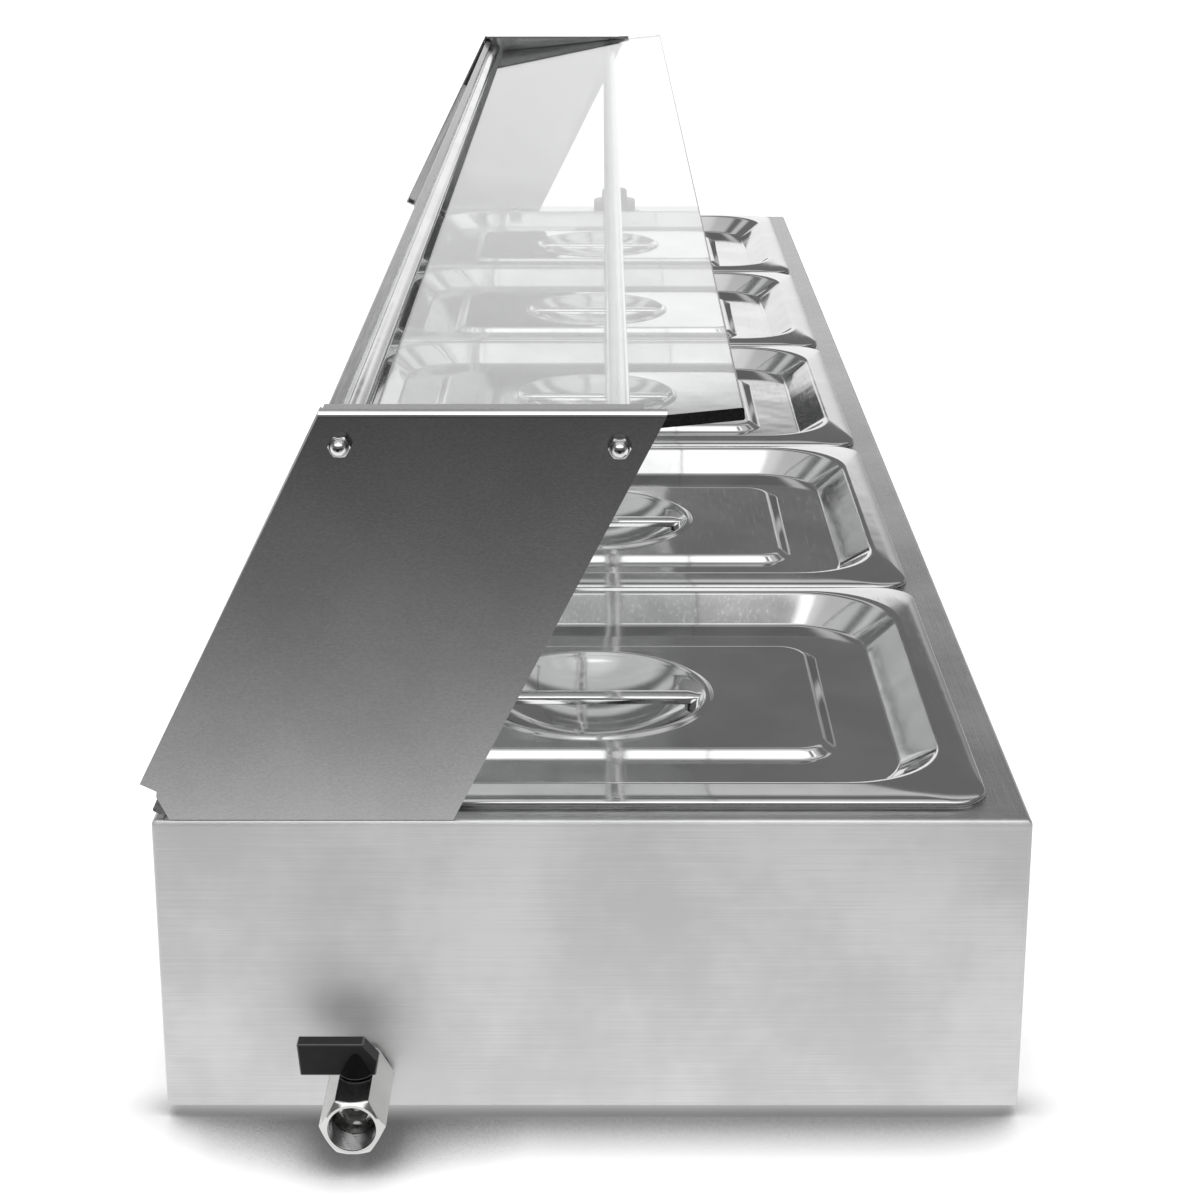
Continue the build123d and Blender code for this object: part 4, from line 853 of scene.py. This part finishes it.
def thread_radius(along, angle):
    """The radius of the thread at a depth from the mouth, where it starts from a plain bore."""
    wave = abs((along / THREAD_PITCH + angle / FULL_TURN) % 1.0 - 0.5) * 2
    cut_in = min(1.0, along / THREAD_START)
    return MOUTH * (1 - cut_in) + (THREAD - THREAD_DEPTH * wave) * cut_in


valve_stations = [(valve_low.x, VALVE_CORNERS - REAR_CHAMFER), (valve_low.x + REAR_CHAMFER, VALVE_CORNERS)]
for step in range(MOUTH_STEPS + 1):
    t = step / MOUTH_STEPS
    radius = VALVE_CORNERS + (RING - VALVE_CORNERS) * t
    valve_stations.append((valve_high.x - MOUTH_CHAMFER * (1 - t), radius))
valve_shell = hex_turned("valve_shell", valve_stations, VALVE_FLATS, nickel)
bore_rings = [around_x(valve_high.x, lambda angle: RING)]
for row in range(THREAD_STEPS + 1):
    along = THREAD_LENGTH * row / THREAD_STEPS
    bore_rings.append(around_x(valve_high.x - along, lambda angle: thread_radius(along, angle)))
for along in (THREAD_LENGTH, CHAMBER_END):
    bore_rings.append(around_x(valve_high.x - along, lambda angle: CHAMBER))
valve_bore = lofted("valve_bore", bore_rings[1:], bore_metal)
valve_ring = lofted("valve_ring", bore_rings[:2], nickel)
boss_rings = []
for radius, rise in ((BOSS_FOOT, -0.1 * MM), (BOSS, 0.7 * MM), (BOSS, 1.7 * MM), (BOSS_LIP, BOSS_TOP),
                     (BOSS_BORE, BOSS_TOP)):
    boss_rings.append(around_z(STEM_X, 0, radius, VALVE_FLATS / 2 + rise, BOSS_STEPS))
valve_boss = lofted("valve_boss", boss_rings, nickel)
valve_mesh = joined("turned_valve", [valve_shell, valve_ring, valve_bore, valve_boss])
valve_mesh.transform(Matrix.Translation((0, VALVE_Y, VALVE_Z)))
smooth(valve_mesh, angle=28)
new_piece("turned_valve_body", valve_mesh, "body", ("valve_body",))

# Drain lever: moulded blade with a cone hub
lever_low, lever_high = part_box("valve_lever")
BLADE_HALF = 3.5 * MM
BLADE_DRAFT = 1.2 * MM
BLADE_CUT = 6.0 * MM
BLADE_CUT_DROP = 7.5 * MM
HUB_FOOT = 7.4 * MM
HUB_TIP = BLADE_HALF * 0.9
HUB_TOP = lever_high.z - 3.0 * MM
HUB_ROWS = 10
HUB_STEPS = 64
LEVER_EASE = 0.6 * MM
LEVER_EASE_STEPS = 4
LEVER_EDGE_SLOT = 2
blade_points = [
    (lever_low.y, lever_high.z),
    (lever_high.y - BLADE_CUT, lever_high.z),
    (lever_high.y, lever_high.z - BLADE_CUT_DROP),
    (lever_high.y - BLADE_DRAFT, lever_low.z),
    (lever_low.y + BLADE_DRAFT, lever_low.z),
]
blade_rings = []
for x in (STEM_X - BLADE_HALF, STEM_X + BLADE_HALF):
    blade_rings.append([Vector((x, y, z)) for y, z in blade_points])
blade_mesh = lofted("lever_blade", blade_rings, lever_plastic, True)
hub_rings = []
for row in range(HUB_ROWS + 1):
    t = row / HUB_ROWS
    radius = HUB_FOOT + (HUB_TIP - HUB_FOOT) * t
    height = lever_low.z + (HUB_TOP - lever_low.z) * t
    hub_rings.append(around_z(STEM_X, VALVE_Y, radius, height, HUB_STEPS))
hub_mesh = lofted("lever_hub", hub_rings, lever_hub, True)
lever_piece = new_piece("moulded_lever", joined("moulded_lever", [blade_mesh, hub_mesh]), "valve_handle",
                        ("valve_lever",))
# The eased edges take the painted highlight finish.
lever_piece.data.materials.append(lever_edge_highlight)
eased(lever_piece, LEVER_EASE, LEVER_EASE_STEPS, LEVER_EDGE_SLOT)
smooth(lever_piece.data, angle=40)

# Dial marks, numbers and the knob's pointer
DIAL_SWEEP = 270
DIAL_COUNT = 8
DEGREES_A_MARK = 10
TICK_NEAR = 21.5 * MM
TICK_FAR = 24.0 * MM
TICK_HALF = 0.45 * MM
TICK_HEIGHT = 0.12 * MM
NUMBER_SIZE = 4.2 * MM
NUMBER_RADIUS = 26.8 * MM
NUMBER_HALF_THICK = 0.06 * MM
NUMBER_RAISE = 0.07 * MM
TICK_CORNERS = ((TICK_NEAR, -TICK_HALF), (TICK_FAR, -TICK_HALF),
                (TICK_FAR, TICK_HALF), (TICK_NEAR, TICK_HALF))
dial_x, dial_y = middle("dial_plate")[:2]
dial_centre = Vector((dial_x, dial_y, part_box("dial_plate")[1].z))


def dial_number(words):
    """A mesh of one number, flat on its back at the origin."""
    text = bpy.data.curves.new("dial_number", "FONT")
    text.body = words
    text.size = NUMBER_SIZE
    text.align_x = "CENTER"
    text.align_y = "CENTER"
    text.extrude = NUMBER_HALF_THICK
    carrier = bpy.data.objects.new("dial_number", text)
    mesh = bpy.data.meshes.new_from_object(carrier)
    bpy.data.objects.remove(carrier)
    bpy.data.curves.remove(text)
    mesh.materials.clear()
    mesh.materials.append(mark_paint)
    return mesh


mark_parts = []
for step in range(DIAL_COUNT + 1):
    angle = math.radians(DIAL_SWEEP * step / DIAL_COUNT)
    outward = Vector((math.cos(angle), -math.sin(angle), 0))
    across = Vector((math.sin(angle), math.cos(angle), 0))
    tick_rings = []
    for raised in (0.0, TICK_HEIGHT):
        tick_rings.append([dial_centre + outward * reach + across * aside + Vector((0, 0, raised))
                           for reach, aside in TICK_CORNERS])
    mark_parts.append(lofted("dial_tick", tick_rings, mark_paint, True))
    number_mesh = dial_number(str(step * DEGREES_A_MARK))
    spot = dial_centre + outward * NUMBER_RADIUS + Vector((0, 0, NUMBER_RAISE))
    spin = Matrix.Rotation(math.atan2(outward.y, outward.x) - math.pi / 2, 4, "Z")
    number_mesh.transform(Matrix.Translation(spot) @ spin)
    mark_parts.append(number_mesh)
new_piece("dial_marks", joined("dial_marks", mark_parts), "body", ())

POINTER_NEAR = 4.0 * MM
POINTER_FAR = 16.0 * MM
POINTER_HALF = 0.7 * MM
POINTER_LAYERS = ((-0.3 * MM, 0.0), (0.15 * MM, 0.0), (0.25 * MM, 0.15 * MM))
knob_x, knob_y = middle("thermostat_knob")[:2]
knob_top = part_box("thermostat_knob")[1].z
pointer_rings = []
for raised, inset in POINTER_LAYERS:
    near = knob_x + POINTER_NEAR + inset
    far = knob_x + POINTER_FAR - inset
    pointer_rings.append([Vector((x, knob_y + aside * POINTER_HALF, knob_top + raised))
                          for x, aside in ((near, -1), (far, -1), (far, 1), (near, 1))])
new_piece("knob_pointer", lofted("knob_pointer", pointer_rings, pointer_paint, True), "knob_unit", ())


# Stage: a pale floor that catches the object's shadow and has a painted contact shadow too, deepest ahead
# of the object; in what metal mirrors it fades ahead of the object
FLOOR_REACH = 12.0
FLOOR_PALE = 0.9
FLOOR_LIFT = 0.72
CONTACT_REACH = 0.06
CONTACT_SAMPLES = 8
CONTACT_OPEN = (0.42, 1.02)
CONTACT_DEPTH = 0.9
CONTACT_BESIDE = 0.35
CONTACT_FRONT = (-0.03, 0.005)
MIRROR_FADE = 0.25
MIRROR_POWER = 1.4
MIRROR_NEAREST = 0.01
floor_material, floor_finish = new_finish("studio_floor")
straight, mirrored = floor_finish.sorted_rays()
ahead = floor_finish.split(floor_finish.place())[0] - END
openness = floor_finish.node("ShaderNodeAmbientOcclusion", {"samples": CONTACT_SAMPLES},
                             {"Distance": CONTACT_REACH}, "AO")
front = CONTACT_BESIDE + (1 - CONTACT_BESIDE) * ahead.above(*CONTACT_FRONT)
# Painted shadow: the floor's colour and glow are darkened where ambient occlusion finds the object close,
# most of all ahead of it.
painted_contact_shadow = 1 - front * CONTACT_DEPTH * openness.below(*CONTACT_OPEN)
mirror_level = ((MIRROR_FADE / ahead.at_least(MIRROR_NEAREST)) ** MIRROR_POWER).at_most(1.0)
pale = FLOOR_PALE * (1 - mirrored) * painted_contact_shadow
lift = straight * painted_contact_shadow * FLOOR_LIFT + mirrored * mirror_level
floor_finish.dress(Base_Color=floor_finish.grey_of(pale), Roughness=0.9, Specular_IOR_Level=0.0,
                   Emission_Color=floor_finish.grey_of(lift), Emission_Strength=1.0)
floor_mesh = bpy.data.meshes.new("studio_floor")
floor_corners = [(x * FLOOR_REACH, y * FLOOR_REACH, 0) for x, y in ((-1, -1), (1, -1), (1, 1), (-1, 1))]
floor_mesh.from_pydata(floor_corners, [], [(0, 1, 2, 3)])
floor_mesh.materials.append(floor_material)
studio_floor = bpy.data.objects.new("studio_floor", floor_mesh)
scene.collection.objects.link(studio_floor)

# The photograph's camera
SENSOR = 36.0
PHOTO_SIDE = 1200
FOCAL_PIXELS = 2380
CAMERA_AHEAD = 0.878
CAMERA_ASIDE = 0.0038
CAMERA_ABOVE = 0.403
CAMERA_PITCH = math.radians(16.5)
CAMERA_YAW = math.radians(-0.04)
CAMERA_SHIFT = -0.1
CAMERA_NEAREST = 0.01
camera_data = bpy.data.cameras.new("photo_camera")
camera_data.sensor_width = SENSOR
camera_data.lens = SENSOR * FOCAL_PIXELS / PHOTO_SIDE
camera_data.shift_y = CAMERA_SHIFT
camera_data.clip_start = CAMERA_NEAREST
camera = bpy.data.objects.new("photo_camera", camera_data)
scene.collection.objects.link(camera)
camera.location = (END + CAMERA_AHEAD, CAMERA_ASIDE, DECK + CAMERA_ABOVE)
heading = Vector((-math.cos(CAMERA_PITCH) * math.cos(CAMERA_YAW),
                  math.cos(CAMERA_PITCH) * math.sin(CAMERA_YAW), -math.sin(CAMERA_PITCH)))
camera.rotation_euler = heading.to_track_quat("-Z", "Y").to_euler()
scene.camera = camera

# Studio light: the camera sees white, and metal sees a low white behind the object and soft boxes overhead
# Spans are parts of a unit direction along X, across Y or up Z
ROOM_LEVEL = 0.17
TOWARD_DROP = 0.1
TOWARD_SPAN = (0.1, 0.5)
TOWARD_TOP = (0.2, 0.35)
LOW_LEVEL = 0.35
LOW_TOP = (0.24, 0.275)
LOW_SIDE_DROP = 0.25
LOW_SIDE_SPAN = (0.1, 0.25)
LOW_BEHIND_GAIN = 0.5
LOW_BEHIND_SPAN = (0.12, 0.4)
ZENITH_LEVEL = 0.22
ZENITH_SPAN = (0.96, 0.995)
REAR_BOX_LEVEL = 1.1
REAR_BOX_NEAR = (0.02, 0.06)
REAR_BOX_FAR = (-0.5, -0.4)
REAR_BOX_LOW = (0.72, 0.84)
REAR_BOX_FAR_SHARE = 0.4
REAR_BOX_SHARE_SPAN = (-0.05, -0.02)
REAR_STRIP_LEVEL = 0.45
REAR_STRIP_NEAR = (-0.6, -0.4)
REAR_STRIP_LOW = (0.55, 0.64)
REAR_STRIP_TOP = (0.68, 0.76)
FRONT_BOX_LEVEL = 1.45
FRONT_BOX_FAR = (0.08, 0.18)
FRONT_BOX_LOW = (0.6, 0.7)
world = bpy.data.worlds.new("studio")
world.use_nodes = True
scene.world = world
sky = Finish(world.node_tree)
along, across, up = sky.split(sky.node("ShaderNodeTexCoord", output="Generated"))
toward = along.above(*TOWARD_SPAN) * up.below(*TOWARD_TOP)
behind = abs(across).below(*LOW_BEHIND_SPAN)
low_white = LOW_LEVEL - LOW_SIDE_DROP * across.above(*LOW_SIDE_SPAN) + LOW_BEHIND_GAIN * behind
low_white = low_white * up.below(*LOW_TOP) * (1 - toward)
zenith = ZENITH_LEVEL * up.above(*ZENITH_SPAN)
rear_box = along.below(*REAR_BOX_NEAR) * along.above(*REAR_BOX_FAR) * up.above(*REAR_BOX_LOW)
rear_share = REAR_BOX_FAR_SHARE + (1 - REAR_BOX_FAR_SHARE) * along.above(*REAR_BOX_SHARE_SPAN)
rear_strip = along.below(*REAR_STRIP_NEAR) * up.above(*REAR_STRIP_LOW) * up.below(*REAR_STRIP_TOP)
front_box = along.above(*FRONT_BOX_FAR) * up.above(*FRONT_BOX_LOW)
boxes = REAR_BOX_LEVEL * rear_box * rear_share + REAR_STRIP_LEVEL * rear_strip + FRONT_BOX_LEVEL * front_box
glow = ROOM_LEVEL - TOWARD_DROP * toward + low_white + zenith + boxes
plain = sky.sorted_rays()[0]
background = world.node_tree.nodes["Background"]
sky.feed(background.inputs["Color"], (1, 1, 1, 1))
sky.feed(background.inputs["Strength"], plain + (1 - plain) * glow)
